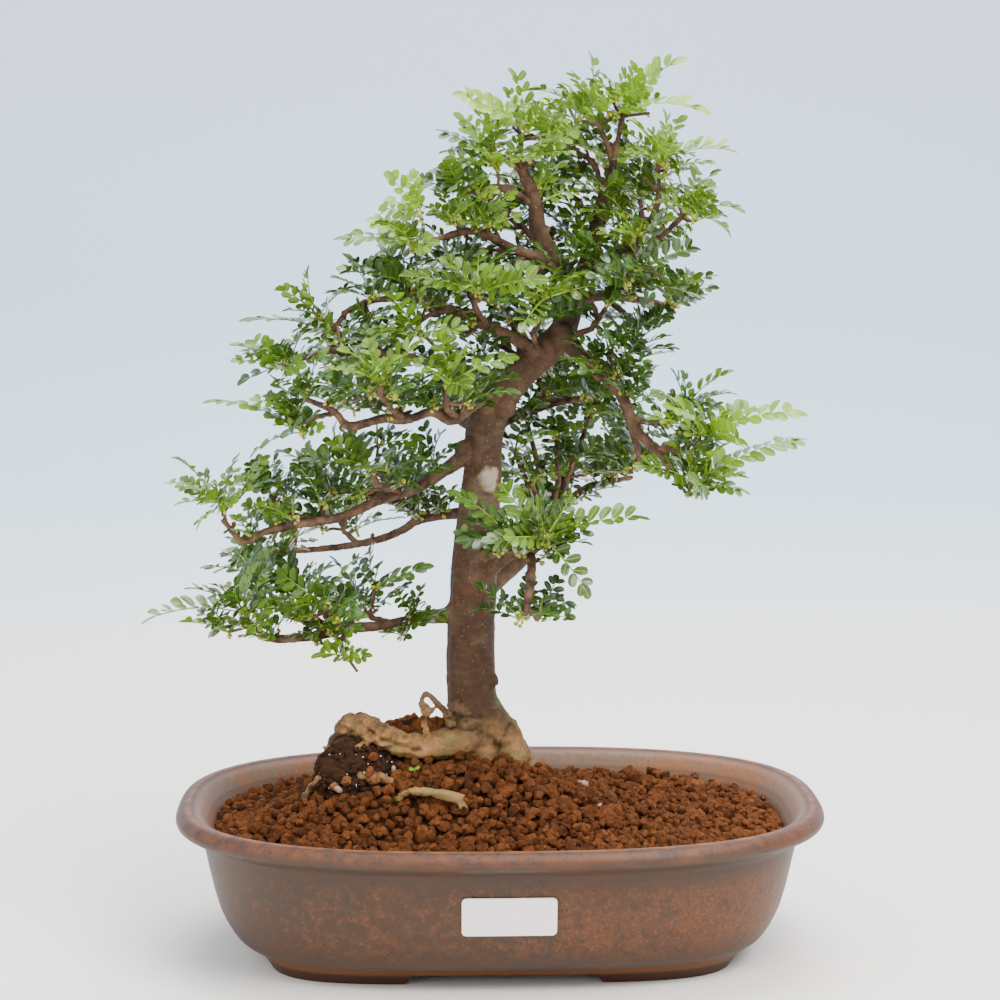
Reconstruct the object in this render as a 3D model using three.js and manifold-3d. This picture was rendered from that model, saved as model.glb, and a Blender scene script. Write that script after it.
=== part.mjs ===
// Japanese pepper bonsai in an oval glazed pot.
// Millimetres, +Z up, the pot's long side along X and its front towards -Y.

import * as THREE from "three";
import { mergeVertices } from "three/addons/utils/BufferGeometryUtils.js";
import Module from "manifold-3d";

const wasm = await Module();
wasm.setup();

// Driving dimensions of the pot
const POT_LENGTH = 311;
const POT_WIDTH = 217;
const POT_CURVE = 2.67; // 2 is an ellipse, higher is squarer
const SQUARE_FROM = 14; // distance inside the lip's outline from which the oval grows squarer
const SQUARE_GROWTH = 0.0018;
const POT_SIDES = 36;
const LIP_TOP = 74;
const POT_FLOOR = 14;
const FOOT_GAP_LONG = 94; // cut-out in the foot ring, front and back
const FOOT_GAP_SHORT = 56; // the same at the two ends
const FOOT_GAP_SLANT = 4.5;
const FOOT_GAP_TOP = 5; // height of the cut-outs
const DRAIN_RADIUS = 9;
const DRAIN_OFFSET = 48;
const DRAIN_SIDES = 14;

// Profiles as [distance inside the lip's outline, height]
const POT_OUTSIDE = [
  [42, 9], [34, 9.6], [28, 13.5], [20.6, 25.5], [16.8, 39], [12.8, 58],
  [11, 62], [2, 65.5], [0, 69], [2.5, 73.4], [6, LIP_TOP],
];
const WALL_BEND = 39; // height at which the wall starts to curve in
const POT_INSIDE = [[12, 71], [19.5, 57], [24, 38], [34, 19], [42, POT_FLOOR]];
const FOOT_RING = [[38, 10.5], [41, 5.5], [45.2, 0], [57, 0], [57, 10.5]];

// Clearances and sheet sizes
const SEAT = 0.35; // gap kept between two pieces that touch
const MESH_SIZE = 34;
const MESH_THICK = 1.2;
const MESH_HOLE = 11;
const STICKER = { width: 43, height: 18.6, thick: 0.6, centre: [1.4, 40.8], corner: 2, ease: 0.6 };

// Soil: a mound that rises from the pot's edge to the foot of the trunk
const SOIL_EDGE = 61;
const SOIL_RISE = 34;
const SOIL_TILT = 0.07; // how much higher the soil lies for each millimetre towards the back
const MOUND = { x: -28, y: -8, long: 75, wide: 47, shape: 1.6 };
const SOIL_RINGS = [0.35, 0.51, 0.65, 0.78, 0.89, 1]; // shares of the way to the edge
const GRAIN_RELIEF = 5.5;
const SOIL_SEED = 5381;
const SOIL_DRIFT = 0.05; // how far a grain's corner strays, as a share of the way to the edge
const PEAT = { centre: [-69, -19, 88], radii: [20, 15, 15.5], roughness: 0.16, seed: 977 };

// Wood: each limb is a list of [x, y, z, radius] from its root to its tip
const TRUNK_SIDES = 10;
const STOUT_SIDES = 7;
const STOUT_RADIUS = 7;
const LIMB_SIDES = 4;
const TWIG_SIDES = 3;
const TWIG_RADIUS = 1.1;
const TWIG_LEAN = 0.6; // how far back along its limb a twig starts, as a share of its length
const TWIG_BOW = 0.16; // how far a twig bows along its limb, as a share of its length
const TWIG_SHARE = 0.62; // a twig's thickest, as a share of its limb's radius
const TWIG_SWELL = 40; // a twig this long is twice as thick at its root
const LIMB_STEP = 0.1; // steps along a limb, where 1 is from one of its points to the next
const LIMBS = {
  trunk: [
    [-9, 8, 62, 15], [-9, 7, 83, 15.6], [-10, 5, 97, 14.4], [-13, 2, 114, 12.3], [-14, 0, 146, 11.7],
    [-13, 0, 168, 11.5], [-12, 0, 190, 11], [-10, 0, 212, 10.2], [-8, 0, 233, 9.3], [-7, 2, 252, 9.5],
    [-2, 4, 267, 10.9], [9, 4, 279, 9], [22, 5, 289, 7.6], [31, 6, 299, 6.6], [34, 6, 313, 5.7],
    [34, 8, 325, 4.3],
  ],
  root_left: [
    [-12, 0, 105, 10.6], [-23, -8, 102, 8], [-36, -14, 101, 6], [-48, -16, 103, 5.7],
    [-60, -16, 109, 6.4], [-70, -13, 111, 5.4], [-78, -9, 102, 4.3], [-82, -6, 90, 2.9],
    [-86, -4, 74, 1.9],
  ],
  root_stub: [[-72, -12, 106, 2], [-70, -22, 100, 1.7], [-62, -29, 96.5, 1.9], [-49, -31, 94, 2.3]],
  root_right: [
    [-9, 1, 128, 9], [-5, 1, 117, 8.6], [0, 0, 107, 9.4], [4, 0, 98, 9.6], [8, -1, 87, 8.6],
    [11, -2, 70, 6],
  ],
  root_back: [[-4, 12, 104, 8.7], [1, 28, 92, 5.9], [5, 40, 75, 3.5]],
  root_thin: [[-61, -20, 106, 2.4], [-74, -24, 98, 1.9], [-85, -24, 90, 1.6], [-94, -22, 78, 1.4]],
  root_cut: [
    [-13, 0, 86, 4], [-44, -30, 79, 2.6], [-52, -40, 83, 2.5], [-46, -45, 88, 2.6], [-33, -48, 88, 2.8],
    [-20, -49, 84, 2.5],
  ],
  root_loop: [
    [-25, -16, 106, 1.4], [-29, -22, 121, 1.1], [-35, -25, 130, 1], [-38, -26, 124, 1],
    [-36, -24, 112, 1], [-35, -18, 102, 1.1],
  ],
  low_left: [
    [-13, 0, 166, 4.3], [-25, -3, 163, 3.8], [-41, -8, 162, 2.8], [-56, -14, 160, 2.6],
    [-71, -20, 160, 2.5], [-85, -26, 158, 2.4], [-105, -30, 157, 2.3], [-117, -34, 162, 2.1],
  ],
  mid_left: [
    [-9, 0, 246, 4.3], [-19, -5, 238, 3.8], [-31, -10, 231, 3], [-42, -16, 225, 2.7],
    [-57, -20, 221, 2.5], [-74, -26, 214, 2.3], [-89, -30, 212, 2.1], [-110, -34, 208, 1.9],
    [-120, -36, 204, 1.7], [-129, -40, 215, 1.4],
  ],
  back_left: [
    [-9, 4, 212, 3.8], [-21, 18, 209, 2.9], [-38, 34, 204, 2.4], [-46, 42, 198, 2.3],
    [-58, 50, 192, 2.1], [-73, 56, 188, 2], [-92, 62, 185, 1.8], [-116, 68, 183, 1.6],
  ],
  front_left: [
    [-3, -4, 269, 3.8], [-12, -20, 266, 2.8], [-23, -34, 260, 2.8], [-32, -38, 264, 2.3],
    [-44, -44, 261, 2.2], [-55, -48, 262, 2.2], [-70, -52, 259, 2.2], [-77, -54, 266, 1.8],
    [-90, -56, 272, 1.3],
  ],
  shoulder_low: [
    [4, 0, 274, 4.3], [-14, -4, 280, 2.8], [-33, -10, 285, 2.3], [-56, -16, 290, 2],
    [-79, -22, 291, 1.7], [-95, -28, 287, 1.4],
  ],
  shoulder_high: [
    [19, 0, 289, 3.8], [0, -8, 299, 2.8], [-21, -14, 309, 2.3], [-42, -18, 315, 2],
    [-61, -22, 314, 1.7], [-74, -26, 308, 1.4],
  ],
  right_arm: [
    [32, 4, 295, 4.7], [40, -4, 285, 3.8], [49, -12, 278, 3.3], [54, -18, 273, 3], [58, -24, 266, 2.9],
    [62, -28, 255, 2.8], [68, -30, 249, 2.5], [74, -34, 242, 2.3], [80, -38, 235, 1.9],
    [83, -40, 229, 1.6],
  ],
  right_back: [
    [-7, 4, 174, 4.8], [5, 20, 180, 3.9], [17, 34, 189, 3.4], [26, 44, 196, 3], [30, 52, 207, 2.7],
    [38, 58, 211, 2.2], [47, 64, 216, 2], [58, 68, 218, 1.7], [70, 72, 220, 1.3],
  ],
  right_front: [
    [-6, -6, 184, 3.8], [3, -22, 194, 2.8], [11, -38, 199, 2.5], [13, -50, 195, 2.4],
    [12, -56, 185, 2.3], [10, -60, 174, 2.1],
  ],
  back_up: [
    [10, 10, 276, 4.3], [15, 34, 283, 3.2], [11, 52, 296, 2.5], [-3, 64, 310, 2], [-20, 70, 320, 1.5],
  ],
  back_low: [
    [-5, 8, 251, 3.8], [5, 34, 253, 2.9], [24, 54, 259, 2.5], [45, 66, 260, 2], [58, 72, 254, 1.5],
  ],
  far_back_left: [
    [-7, 8, 247, 3.8], [-15, 34, 251, 2.7], [-33, 54, 259, 2.3], [-53, 64, 263, 1.8],
    [-70, 68, 260, 1.5],
  ],
  crown_left: [
    [34, 6, 318, 5.2], [26, 0, 331, 4.7], [18, -6, 346, 4.2], [16, -10, 360, 3.5], [10, -14, 374, 2.5],
    [7, -16, 383, 1.7],
  ],
  crown_mid: [
    [35, 8, 317, 4.7], [42, 12, 330, 4.3], [46, 14, 346, 3.3], [49, 14, 360, 2.8], [53, 12, 371, 2.1],
    [56, 10, 388, 1.7],
  ],
  crown_right: [
    [41, 8, 325, 3.8], [50, 4, 331, 3], [57, 0, 336, 2.8], [68, -4, 336, 2.2], [77, -8, 345, 1.7],
  ],
  crown_low_left: [
    [26, 0, 331, 3.8], [7, -10, 337, 2.6], [-12, -18, 346, 2.1], [-28, -24, 343, 1.7],
  ],
  crown_back: [[37, 10, 322, 3.8], [45, 32, 330, 2.7], [51, 46, 343, 2.2], [49, 52, 357, 1.7]],
  crown_right_back: [[35, 8, 313, 3.8], [52, 26, 314, 2.7], [70, 40, 311, 2.1], [84, 48, 308, 1.6]],
};

// Leafy spurs: [limb, spur's place, number of fronds, their length, 1 where the growth is young,
// tips of the fronds that stand out of the crown]
const SPURS = [
  ["crown_mid", [59, 10, 401], 7, 34, 1, [[87, 8, 426], [101, 2, 421], [101, -6, 406], [43, 16, 417]]],
  ["crown_mid", [42, 4, 399], 5, 30, 1, [[14, 0, 412], [38, 14, 414]]],
  ["crown_left", [11, -16, 390], 6, 32, 1, [[-21, -16, 409], [-15, -34, 397]]],
  ["crown_left", [-5, -20, 380], 5, 28, 0, [[-30, -22, 392]]],
  ["crown_right", [74, -6, 377], 6, 34, 1, [[110, -6, 383], [98, -20, 393]]],
  ["crown_right", [86, -12, 354], 6, 26, 1, [[108, -12, 344], [81, -16, 334]]],
  ["crown_left", [-16, -22, 364], 6, 30, 0, [[-32, -26, 374]]],
  ["crown_back", [30, 34, 366], 5, 32, 0, []],
  ["crown_back", [60, 36, 375], 5, 32, 0, []],
  ["crown_mid", [36, 28, 384], 5, 30, 0, []],
  ["crown_right", [67, 14, 360], 5, 30, 0, []],
  ["crown_left", [3, 16, 352], 5, 30, 0, []],
  ["crown_low_left", [-38, -28, 340], 6, 32, 1, [[-76, -30, 342], [-45, -20, 357]]],
  ["crown_low_left", [-18, 4, 333], 5, 32, 0, []],
  ["shoulder_high", [-11, -34, 317], 6, 34, 1, [[-2, -52, 331], [-22, -50, 333]]],
  ["crown_low_left", [20, -30, 317], 6, 34, 1, [[37, -52, 328], [7, -60, 303]]],
  ["crown_right_back", [60, 14, 318], 6, 32, 0, [[96, 8, 314]]],
  ["crown_right", [64, -22, 329], 5, 28, 0, []],
  ["shoulder_high", [-48, -2, 323], 6, 34, 0, [[-76, -6, 328]]],
  ["shoulder_high", [-77, -26, 301], 6, 34, 0, [[-120, -30, 305], [-109, -50, 296]]],
  ["shoulder_low", [-98, -30, 285], 6, 30, 0, [[-124, -32, 295], [-121, -30, 276]]],
  ["shoulder_low", [-66, 8, 284], 5, 32, 0, []],
  ["shoulder_high", [-39, -44, 300], 5, 32, 1, []],
  ["front_left", [-56, -62, 279], 5, 30, 1, [[-73, -78, 296]]],
  ["front_left", [-90, -52, 258], 5, 40, 0, [[-134, -56, 271], [-115, -50, 246]]],
  ["front_left", [-25, -56, 277], 6, 30, 1, [[-29, -70, 302]]],
  ["mid_left", [-128, -40, 220], 7, 24, 1, [[-137, -44, 208], [-136, -40, 232], [-121, -38, 245]]],
  ["mid_left", [-108, -14, 222], 5, 28, 0, []],
  ["mid_left", [-82, 0, 228], 5, 30, 0, []],
  ["mid_left", [-60, -38, 236], 5, 30, 0, []],
  ["back_left", [-114, 56, 182], 6, 30, 0, []],
  ["back_left", [-78, 66, 200], 5, 32, 0, []],
  ["back_left", [-50, 46, 217], 6, 30, 0, []],
  ["low_left", [-119, -36, 169], 7, 34, 0, [[-166, -42, 168], [-146, -30, 175]]],
  ["low_left", [-96, -6, 172], 5, 30, 0, []],
  ["low_left", [-82, -42, 174], 5, 32, 0, []],
  ["low_left", [-65, -4, 166], 6, 34, 0, [[-33, -8, 188]]],
  ["low_left", [-74, -30, 150], 5, 18, 1, []],
  ["low_left", [-112, 8, 176], 5, 28, 0, []],
  ["right_arm", [58, -4, 286], 5, 30, 0, [[84, -10, 290]]],
  ["right_arm", [83, -30, 263], 6, 30, 0, [[108, -34, 272], [79, -22, 282]]],
  ["right_arm", [90, -42, 252], 6, 44, 1, [[138, -46, 264], [119, -70, 250]]],
  ["right_arm", [87, -42, 230], 7, 44, 1, [[141, -34, 251], [112, -50, 227]]],
  ["right_arm", [66, -6, 238], 5, 30, 0, []],
  ["right_front", [18, -54, 206], 7, 38, 1, [[64, -66, 218], [6, -78, 233], [39, -60, 182]]],
  ["right_front", [5, -56, 205], 5, 34, 0, [[-24, -58, 230], [-17, -64, 212]]],
  ["right_back", [34, 50, 227], 6, 30, 0, []],
  ["right_back", [59, 76, 226], 5, 30, 0, []],
  ["back_low", [47, 70, 255], 5, 30, 0, []],
  ["back_low", [24, 60, 272], 5, 30, 0, []],
  ["back_up", [-8, 68, 310], 6, 32, 0, []],
  ["far_back_left", [-62, 70, 259], 6, 32, 0, []],
];

// A frond: a winged stalk with leaflets in pairs and one at its tip
const FROND_SEED = 20611;
const FROND_REACH = 0.21; // leaflets' reach to each side, as a share of the frond's length
const FROND_REACH_LEAST = 6;
const FROND_ARCH = 0.09;
const FACE_OUTWARD = 0.8; // how far the fronds' faces turn away from the trunk
const STALK_SHARE = 0.2; // bare stalk, as a share of the frond's length
const END_LEAFLET_SHARE = 0.23;
const LEAFLET = { rear: [0.14, 0.72], front: [0.8, 1], end: [0.55, 0.62] }; // [along, sideways] shares
const FIRST_PAIR_SHARE = 0.88;
const RIB_HALF = 0.6;
const RIB_THICK = 1.3;
const PAIRS_OUTER = 2; // pairs of leaflets on a frond that stands out of the crown
const PAIRS_INNER = 1;
const STALK_ROOT = 0.9; // distance between the bud's middle and a stalk's sunk end
const BUD_RADIUS = 3;
const BUD_HEIGHT = 6.5;
const BUD_HEART = 1.9; // height in the bud at which the stalks start

// How the fronds open from a spur. Each try that finds no room changes its aim by the "more" values.
const FROND_TRIES = 60;
const BOX_CLEAR = 0.5;
const BOX_SPLIT = 0.6; // where along a frond its two boxes meet
const BOX_BULGE = 0.16; // how far the arch stands out of a box, as a share of its rise
const TIP_AIM = { stray: 0.25, roll: 0.8, rollMore: 0.03 };
const OPENING = {
  leanX: 200, // the further out a spur is, in millimetres, the more its fronds lean outwards
  leanY: 120,
  rise: 0.45,
  turnStep: 2.4, // from one frond to the next, round the spur, in radians
  turnRange: 1.2,
  turnMore: 0.7,
  least: 0.6, // angle away from the spur's own heading, in radians
  range: 0.75,
  more: 0.015,
  lowest: -0.1, // the most that a frond may point down, before it is flattened and lifted
  flatten: 0.6, // how level the fronds lie, 1 leaves them as steep as they point
  lift: 0.12,
  shortest: 0.8, // length, as a share of the spur's
  lengthRange: 0.4,
  shorten: 0.008,
  roll: 1.1,
};

const MATERIALS = {
  glaze: { color: 0x74503b, roughness: 0.42, metalness: 0 },
  akadama: { color: 0x8a4526, roughness: 0.95, metalness: 0 },
  peat: { color: 0x33231b, roughness: 1, metalness: 0 },
  bark: { color: 0x7d6152, roughness: 0.85, metalness: 0 },
  leaf: { color: 0x2f6a2c, roughness: 0.4, metalness: 0 },
  young_leaf: { color: 0x6fae35, roughness: 0.45, metalness: 0 },
  sticker: { color: 0xf3eeea, roughness: 0.6, metalness: 0 },
  net: { color: 0x1f2320, roughness: 0.6, metalness: 0 },
};

// Random numbers from 0 to 1, the same on each run
function randomNumbers(seed) {
  let state = seed;
  return () => {
    state = (state * 48271) % 2147483647;
    return state / 2147483647;
  };
}

// Solids

function geometryFrom(points, faces) {
  const geometry = new THREE.BufferGeometry();
  geometry.setAttribute("position", new THREE.Float32BufferAttribute(points.flat(), 3));
  geometry.setIndex(faces.flat());
  return geometry;
}

// A closed mesh as a solid, turned to face outwards
function solidFrom(geometry) {
  const bare = geometry.clone();
  bare.deleteAttribute("normal");
  bare.deleteAttribute("uv");
  const merged = mergeVertices(bare, 1e-4);
  const vertProperties = merged.attributes.position.array;
  const triVerts = new Uint32Array(merged.index.array);
  if (signedVolume(vertProperties, triVerts) < 0) {
    for (let i = 0; i < triVerts.length; i += 3) {
      [triVerts[i + 1], triVerts[i + 2]] = [triVerts[i + 2], triVerts[i + 1]];
    }
  }
  return new wasm.Manifold(new wasm.Mesh({ numProp: 3, vertProperties, triVerts }));
}

function signedVolume(positions, corners) {
  const [a, b, c] = [new THREE.Vector3(), new THREE.Vector3(), new THREE.Vector3()];
  let volume = 0;
  for (let i = 0; i < corners.length; i += 3) {
    a.fromArray(positions, corners[i] * 3);
    b.fromArray(positions, corners[i + 1] * 3);
    c.fromArray(positions, corners[i + 2] * 3);
    volume += a.dot(b.cross(c)) / 6;
  }
  return volume;
}

function geometryOf(solid) {
  const mesh = solid.getMesh();
  const geometry = new THREE.BufferGeometry();
  geometry.setAttribute("position", new THREE.BufferAttribute(new Float32Array(mesh.vertProperties), 3));
  geometry.setIndex(new THREE.BufferAttribute(new Uint32Array(mesh.triVerts), 1));
  return geometry;
}

function join(solids) {
  return solids.reduce((whole, next) => whole.add(next));
}

// What is left once loose scraps are dropped
function largestPiece(solid) {
  return solid.decompose().reduce((best, piece) => (piece.volume() > best.volume() ? piece : best));
}

// A skin over rings of equal count, closed by a cap at each end or, as a loop, ring to ring
function ringSolid(rings, isLoop = false) {
  const count = rings[0].length;
  const points = rings.flat();
  const faces = [];
  const strips = isLoop ? rings.length : rings.length - 1;
  for (let r = 0; r < strips; r += 1) {
    const low = r * count;
    const high = ((r + 1) % rings.length) * count;
    for (let i = 0; i < count; i += 1) {
      const j = (i + 1) % count;
      faces.push([low + i, low + j, high + j], [low + i, high + j, high + i]);
    }
  }
  if (!isLoop) {
    const last = (rings.length - 1) * count;
    for (let i = 1; i < count - 1; i += 1) {
      faces.push([0, i + 1, i], [last, last + i, last + i + 1]);
    }
  }
  return solidFrom(geometryFrom(points, faces));
}

// Pot

// The oval is squarer at the foot than at the lip
function curveAt(inset) {
  return POT_CURVE + SQUARE_GROWTH * Math.max(0, inset - SQUARE_FROM) ** 2;
}

// A point of the oval at a given distance inside the lip's outline
function ovalPoint(turn, inset) {
  const power = 2 / curveAt(inset);
  const along = Math.cos(turn);
  const across = Math.sin(turn);
  return [
    Math.sign(along) * Math.abs(along) ** power * (POT_LENGTH / 2 - inset),
    Math.sign(across) * Math.abs(across) ** power * (POT_WIDTH / 2 - inset),
  ];
}

function ovalRing(inset, height) {
  const ring = [];
  for (let i = 0; i < POT_SIDES; i += 1) {
    ring.push([...ovalPoint((i / POT_SIDES) * Math.PI * 2, inset), height]);
  }
  return ring;
}

// The inset of a profile at a height, for profiles that only rise or only fall
function insetAt(profile, height) {
  for (let i = 1; i < profile.length; i += 1) {
    const [[insetA, heightA], [insetB, heightB]] = [profile[i - 1], profile[i]];
    if ((height - heightA) * (height - heightB) <= 0 && heightA !== heightB) {
      return insetA + ((insetB - insetA) * (height - heightA)) / (heightB - heightA);
    }
  }
  return profile[profile.length - 1][0];
}

// A wedge across the foot ring that leaves one foot on each side of it
function footGap(width, alongY) {
  const half = width / 2;
  const outline = new THREE.Shape([
    new THREE.Vector2(-half, -1),
    new THREE.Vector2(half, -1),
    new THREE.Vector2(half - FOOT_GAP_SLANT, FOOT_GAP_TOP),
    new THREE.Vector2(-half + FOOT_GAP_SLANT, FOOT_GAP_TOP),
  ]);
  const depth = POT_LENGTH;
  const wedge = new THREE.ExtrudeGeometry(outline, { depth, bevelEnabled: false });
  wedge.translate(0, 0, -depth / 2);
  wedge.rotateX(Math.PI / 2);
  if (!alongY) {
    wedge.rotateZ(Math.PI / 2);
  }
  return solidFrom(wedge);
}

function makePot() {
  const bowl = ringSolid([...POT_OUTSIDE, ...POT_INSIDE].map(([inset, height]) => ovalRing(inset, height)));
  const ring = ringSolid(FOOT_RING.map(([inset, height]) => ovalRing(inset, height)), true);
  const feet = ring.subtract(footGap(FOOT_GAP_LONG, true)).subtract(footGap(FOOT_GAP_SHORT, false));
  let pot = bowl.add(feet);
  for (const side of [-1, 1]) {
    const drain = new THREE.CylinderGeometry(DRAIN_RADIUS, DRAIN_RADIUS, POT_FLOOR * 2, DRAIN_SIDES);
    drain.rotateX(Math.PI / 2);
    drain.translate(side * DRAIN_OFFSET, 0, POT_FLOOR / 2);
    pot = pot.subtract(solidFrom(drain));
  }
  return pot;
}

// The square of net that keeps the grains out of a drainage hole
function makeNet(side) {
  const sheet = new THREE.BoxGeometry(MESH_SIZE, MESH_SIZE, MESH_THICK);
  let net = solidFrom(sheet);
  const middle = MESH_SIZE / 4 - 1;
  for (const [x, y] of [[-middle, -middle], [middle, -middle], [middle, middle], [-middle, middle]]) {
    const opening = new THREE.BoxGeometry(MESH_HOLE, MESH_HOLE, MESH_THICK * 2);
    opening.translate(x, y, 0);
    net = net.subtract(solidFrom(opening));
  }
  return net.translate([side * DRAIN_OFFSET, 0, POT_FLOOR + SEAT + MESH_THICK / 2]);
}

// The sticker is bare, and follows the curve and slope of the wall
function makeSticker() {
  const { width, height, thick, centre, corner, ease } = STICKER;
  const half = width / 2;
  const columns = [
    [-half, corner], [-half + ease, ease], [-half + corner, 0], [-half / 2, 0], [0, 0],
    [half / 2, 0], [half - corner, 0], [half - ease, ease], [half, corner],
  ];
  const wallPoint = (x, z, out) => {
    const inset = insetAt(POT_OUTSIDE, z);
    const share = Math.abs(x) / (POT_LENGTH / 2 - inset);
    const curve = curveAt(inset);
    const y = (POT_WIDTH / 2 - inset) * (1 - share ** curve) ** (1 / curve);
    return [x, -(y + out), z];
  };
  const rings = columns.map(([across, cut]) => {
    const x = centre[0] + across;
    const low = centre[1] - height / 2 + cut;
    const high = centre[1] + height / 2 - cut;
    const rows = [low, WALL_BEND, high];
    const back = rows.map((z) => wallPoint(x, z, SEAT));
    const front = rows.map((z) => wallPoint(x, z, SEAT + thick));
    return [...back, ...front.reverse()];
  });
  return ringSolid(rings);
}

// Soil

function soilEdge(y) {
  return SOIL_EDGE + SOIL_TILT * Math.max(0, y);
}

function soilHeight(x, y) {
  const far = ((x - MOUND.x) / MOUND.long) ** 2 + ((y - MOUND.y) / MOUND.wide) ** 2;
  return soilEdge(y) + SOIL_RISE * Math.exp(-(far ** MOUND.shape));
}

// Coarse grains in relief: each cell of a polar net rises to a peak of its own
function makeSoil() {
  const random = randomNumbers(SOIL_SEED);
  const edgeInset = insetAt(POT_INSIDE, SOIL_EDGE + 1) + SEAT * 1.5;
  const points = [];
  const faces = [];
  const at = (ring, i) => 1 + (ring - 1) * POT_SIDES + (i % POT_SIDES);
  points.push([0, 0, soilHeight(0, 0)]);
  SOIL_RINGS.forEach((share) => {
    for (let i = 0; i < POT_SIDES; i += 1) {
      const isEdge = share === 1;
      const reach = isEdge ? 1 : share + (random() - 0.5) * SOIL_DRIFT;
      const turn = isEdge ? i : i + (random() - 0.5) / 2;
      const [x, y] = ovalPoint((turn / POT_SIDES) * Math.PI * 2, edgeInset);
      const sunk = (random() * GRAIN_RELIEF) / 2;
      const height = isEdge ? soilEdge(y) + 1 : soilHeight(x * reach, y * reach) - sunk;
      points.push([x * reach, y * reach, height]);
    }
  });
  const peak = (corners) => {
    const middle = [0, 0, 0];
    for (const corner of corners) {
      points[corner].forEach((value, axis) => (middle[axis] += value / corners.length));
    }
    middle[2] += (GRAIN_RELIEF * (1 + 2 * random())) / 3;
    points.push(middle);
    corners.forEach((corner, i) => {
      faces.push([corner, corners[(i + 1) % corners.length], points.length - 1]);
    });
  };
  for (let i = 0; i < POT_SIDES; i += 2) {
    peak([0, at(1, i), at(1, i + 1), at(1, i + 2)]);
  }
  for (let ring = 1; ring < SOIL_RINGS.length; ring += 1) {
    for (let i = 0; i < POT_SIDES; i += 1) {
      peak([at(ring, i), at(ring + 1, i), at(ring + 1, i + 1), at(ring, i + 1)]);
    }
  }
  let above = at(SOIL_RINGS.length, 0);
  const nextRing = (start, i) => start + (i % POT_SIDES);
  const below = POT_INSIDE.filter(([, height]) => height < SOIL_EDGE);
  for (const [inset, height] of below) {
    const start = points.length;
    points.push(...ovalRing(inset + SEAT * 1.5, Math.max(height, POT_FLOOR + SEAT)));
    for (let i = 0; i < POT_SIDES; i += 1) {
      faces.push([nextRing(above, i), nextRing(start, i), nextRing(start, i + 1)]);
      faces.push([nextRing(above, i), nextRing(start, i + 1), nextRing(above, i + 1)]);
    }
    above = start;
  }
  for (let i = 1; i < POT_SIDES - 1; i += 1) {
    faces.push([above, above + i + 1, above + i]);
  }
  let soil = solidFrom(geometryFrom(points, faces));
  for (const side of [-1, 1]) {
    const room = MESH_SIZE + SEAT * 2;
    const recess = new THREE.BoxGeometry(room, room, MESH_THICK + SEAT * 3);
    recess.translate(side * DRAIN_OFFSET, 0, POT_FLOOR + MESH_THICK / 2 + SEAT / 2);
    soil = soil.subtract(solidFrom(recess));
  }
  return soil;
}

// The old root ball: a crumbly lump under the raised root
function makePeat(grow = 0) {
  const random = randomNumbers(PEAT.seed);
  const lump = mergeVertices(bareGeometry(new THREE.IcosahedronGeometry(1, 1)), 1e-4);
  const position = lump.attributes.position;
  for (let i = 0; i < position.count; i += 1) {
    const swell = 1 + (random() - 0.5) * 2 * PEAT.roughness;
    position.setXYZ(
      i,
      PEAT.centre[0] + position.getX(i) * (PEAT.radii[0] * swell + grow),
      PEAT.centre[1] + position.getY(i) * (PEAT.radii[1] * swell + grow),
      PEAT.centre[2] + position.getZ(i) * (PEAT.radii[2] * swell + grow),
    );
  }
  return solidFrom(lump);
}

function bareGeometry(geometry) {
  geometry.deleteAttribute("normal");
  geometry.deleteAttribute("uv");
  return geometry;
}

// Small vector sums on plain lists

const add = (a, b) => [a[0] + b[0], a[1] + b[1], a[2] + b[2]];
const take = (a, b) => [a[0] - b[0], a[1] - b[1], a[2] - b[2]];
const times = (a, k) => [a[0] * k, a[1] * k, a[2] * k];
const dot = (a, b) => a[0] * b[0] + a[1] * b[1] + a[2] * b[2];
const size = (a) => Math.sqrt(dot(a, a));
const unit = (a) => times(a, 1 / size(a));
const cross = (a, b) => [a[1] * b[2] - a[2] * b[1], a[2] * b[0] - a[0] * b[2], a[0] * b[1] - a[1] * b[0]];

// Wood

// A point [x, y, z, radius] on the smooth line through a limb's points
function limbPoint(limb, place) {
  const last = limb.length - 1;
  const step = Math.min(Math.floor(place), last - 1);
  const t = place - step;
  const near = [step - 1, step, step + 1, step + 2].map((i) => limb[Math.min(Math.max(i, 0), last)]);
  return near[1].map((_, axis) => {
    const [a, b, c, d] = near.map((point) => point[axis]);
    const bend = 2 * a - 5 * b + 4 * c - d;
    const twist = 3 * b - a - 3 * c + d;
    return (2 * b + (c - a) * t + bend * t * t + twist * t * t * t) / 2;
  });
}

// A round tube through [x, y, z, radius] points, with blunt ends
function tube(points, sides, grow = 0) {
  const last = points.length - 1;
  let across = [0, 1, 0];
  const rings = points.map((point, i) => {
    const heading = unit(take(points[Math.min(i + 1, last)], points[Math.max(i - 1, 0)]));
    across = unit(take(across, times(heading, dot(across, heading))));
    const third = cross(heading, across);
    const end = i === 0 ? -grow : i === last ? grow : 0;
    const centre = add(point, times(heading, end));
    const ring = [];
    for (let k = 0; k < sides; k += 1) {
      const turn = (k / sides) * Math.PI * 2;
      const reach = point[3] + grow;
      const offset = add(times(across, Math.cos(turn) * reach), times(third, Math.sin(turn) * reach));
      ring.push(add(centre, offset));
    }
    return ring;
  });
  return ringSolid(rings);
}

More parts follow.
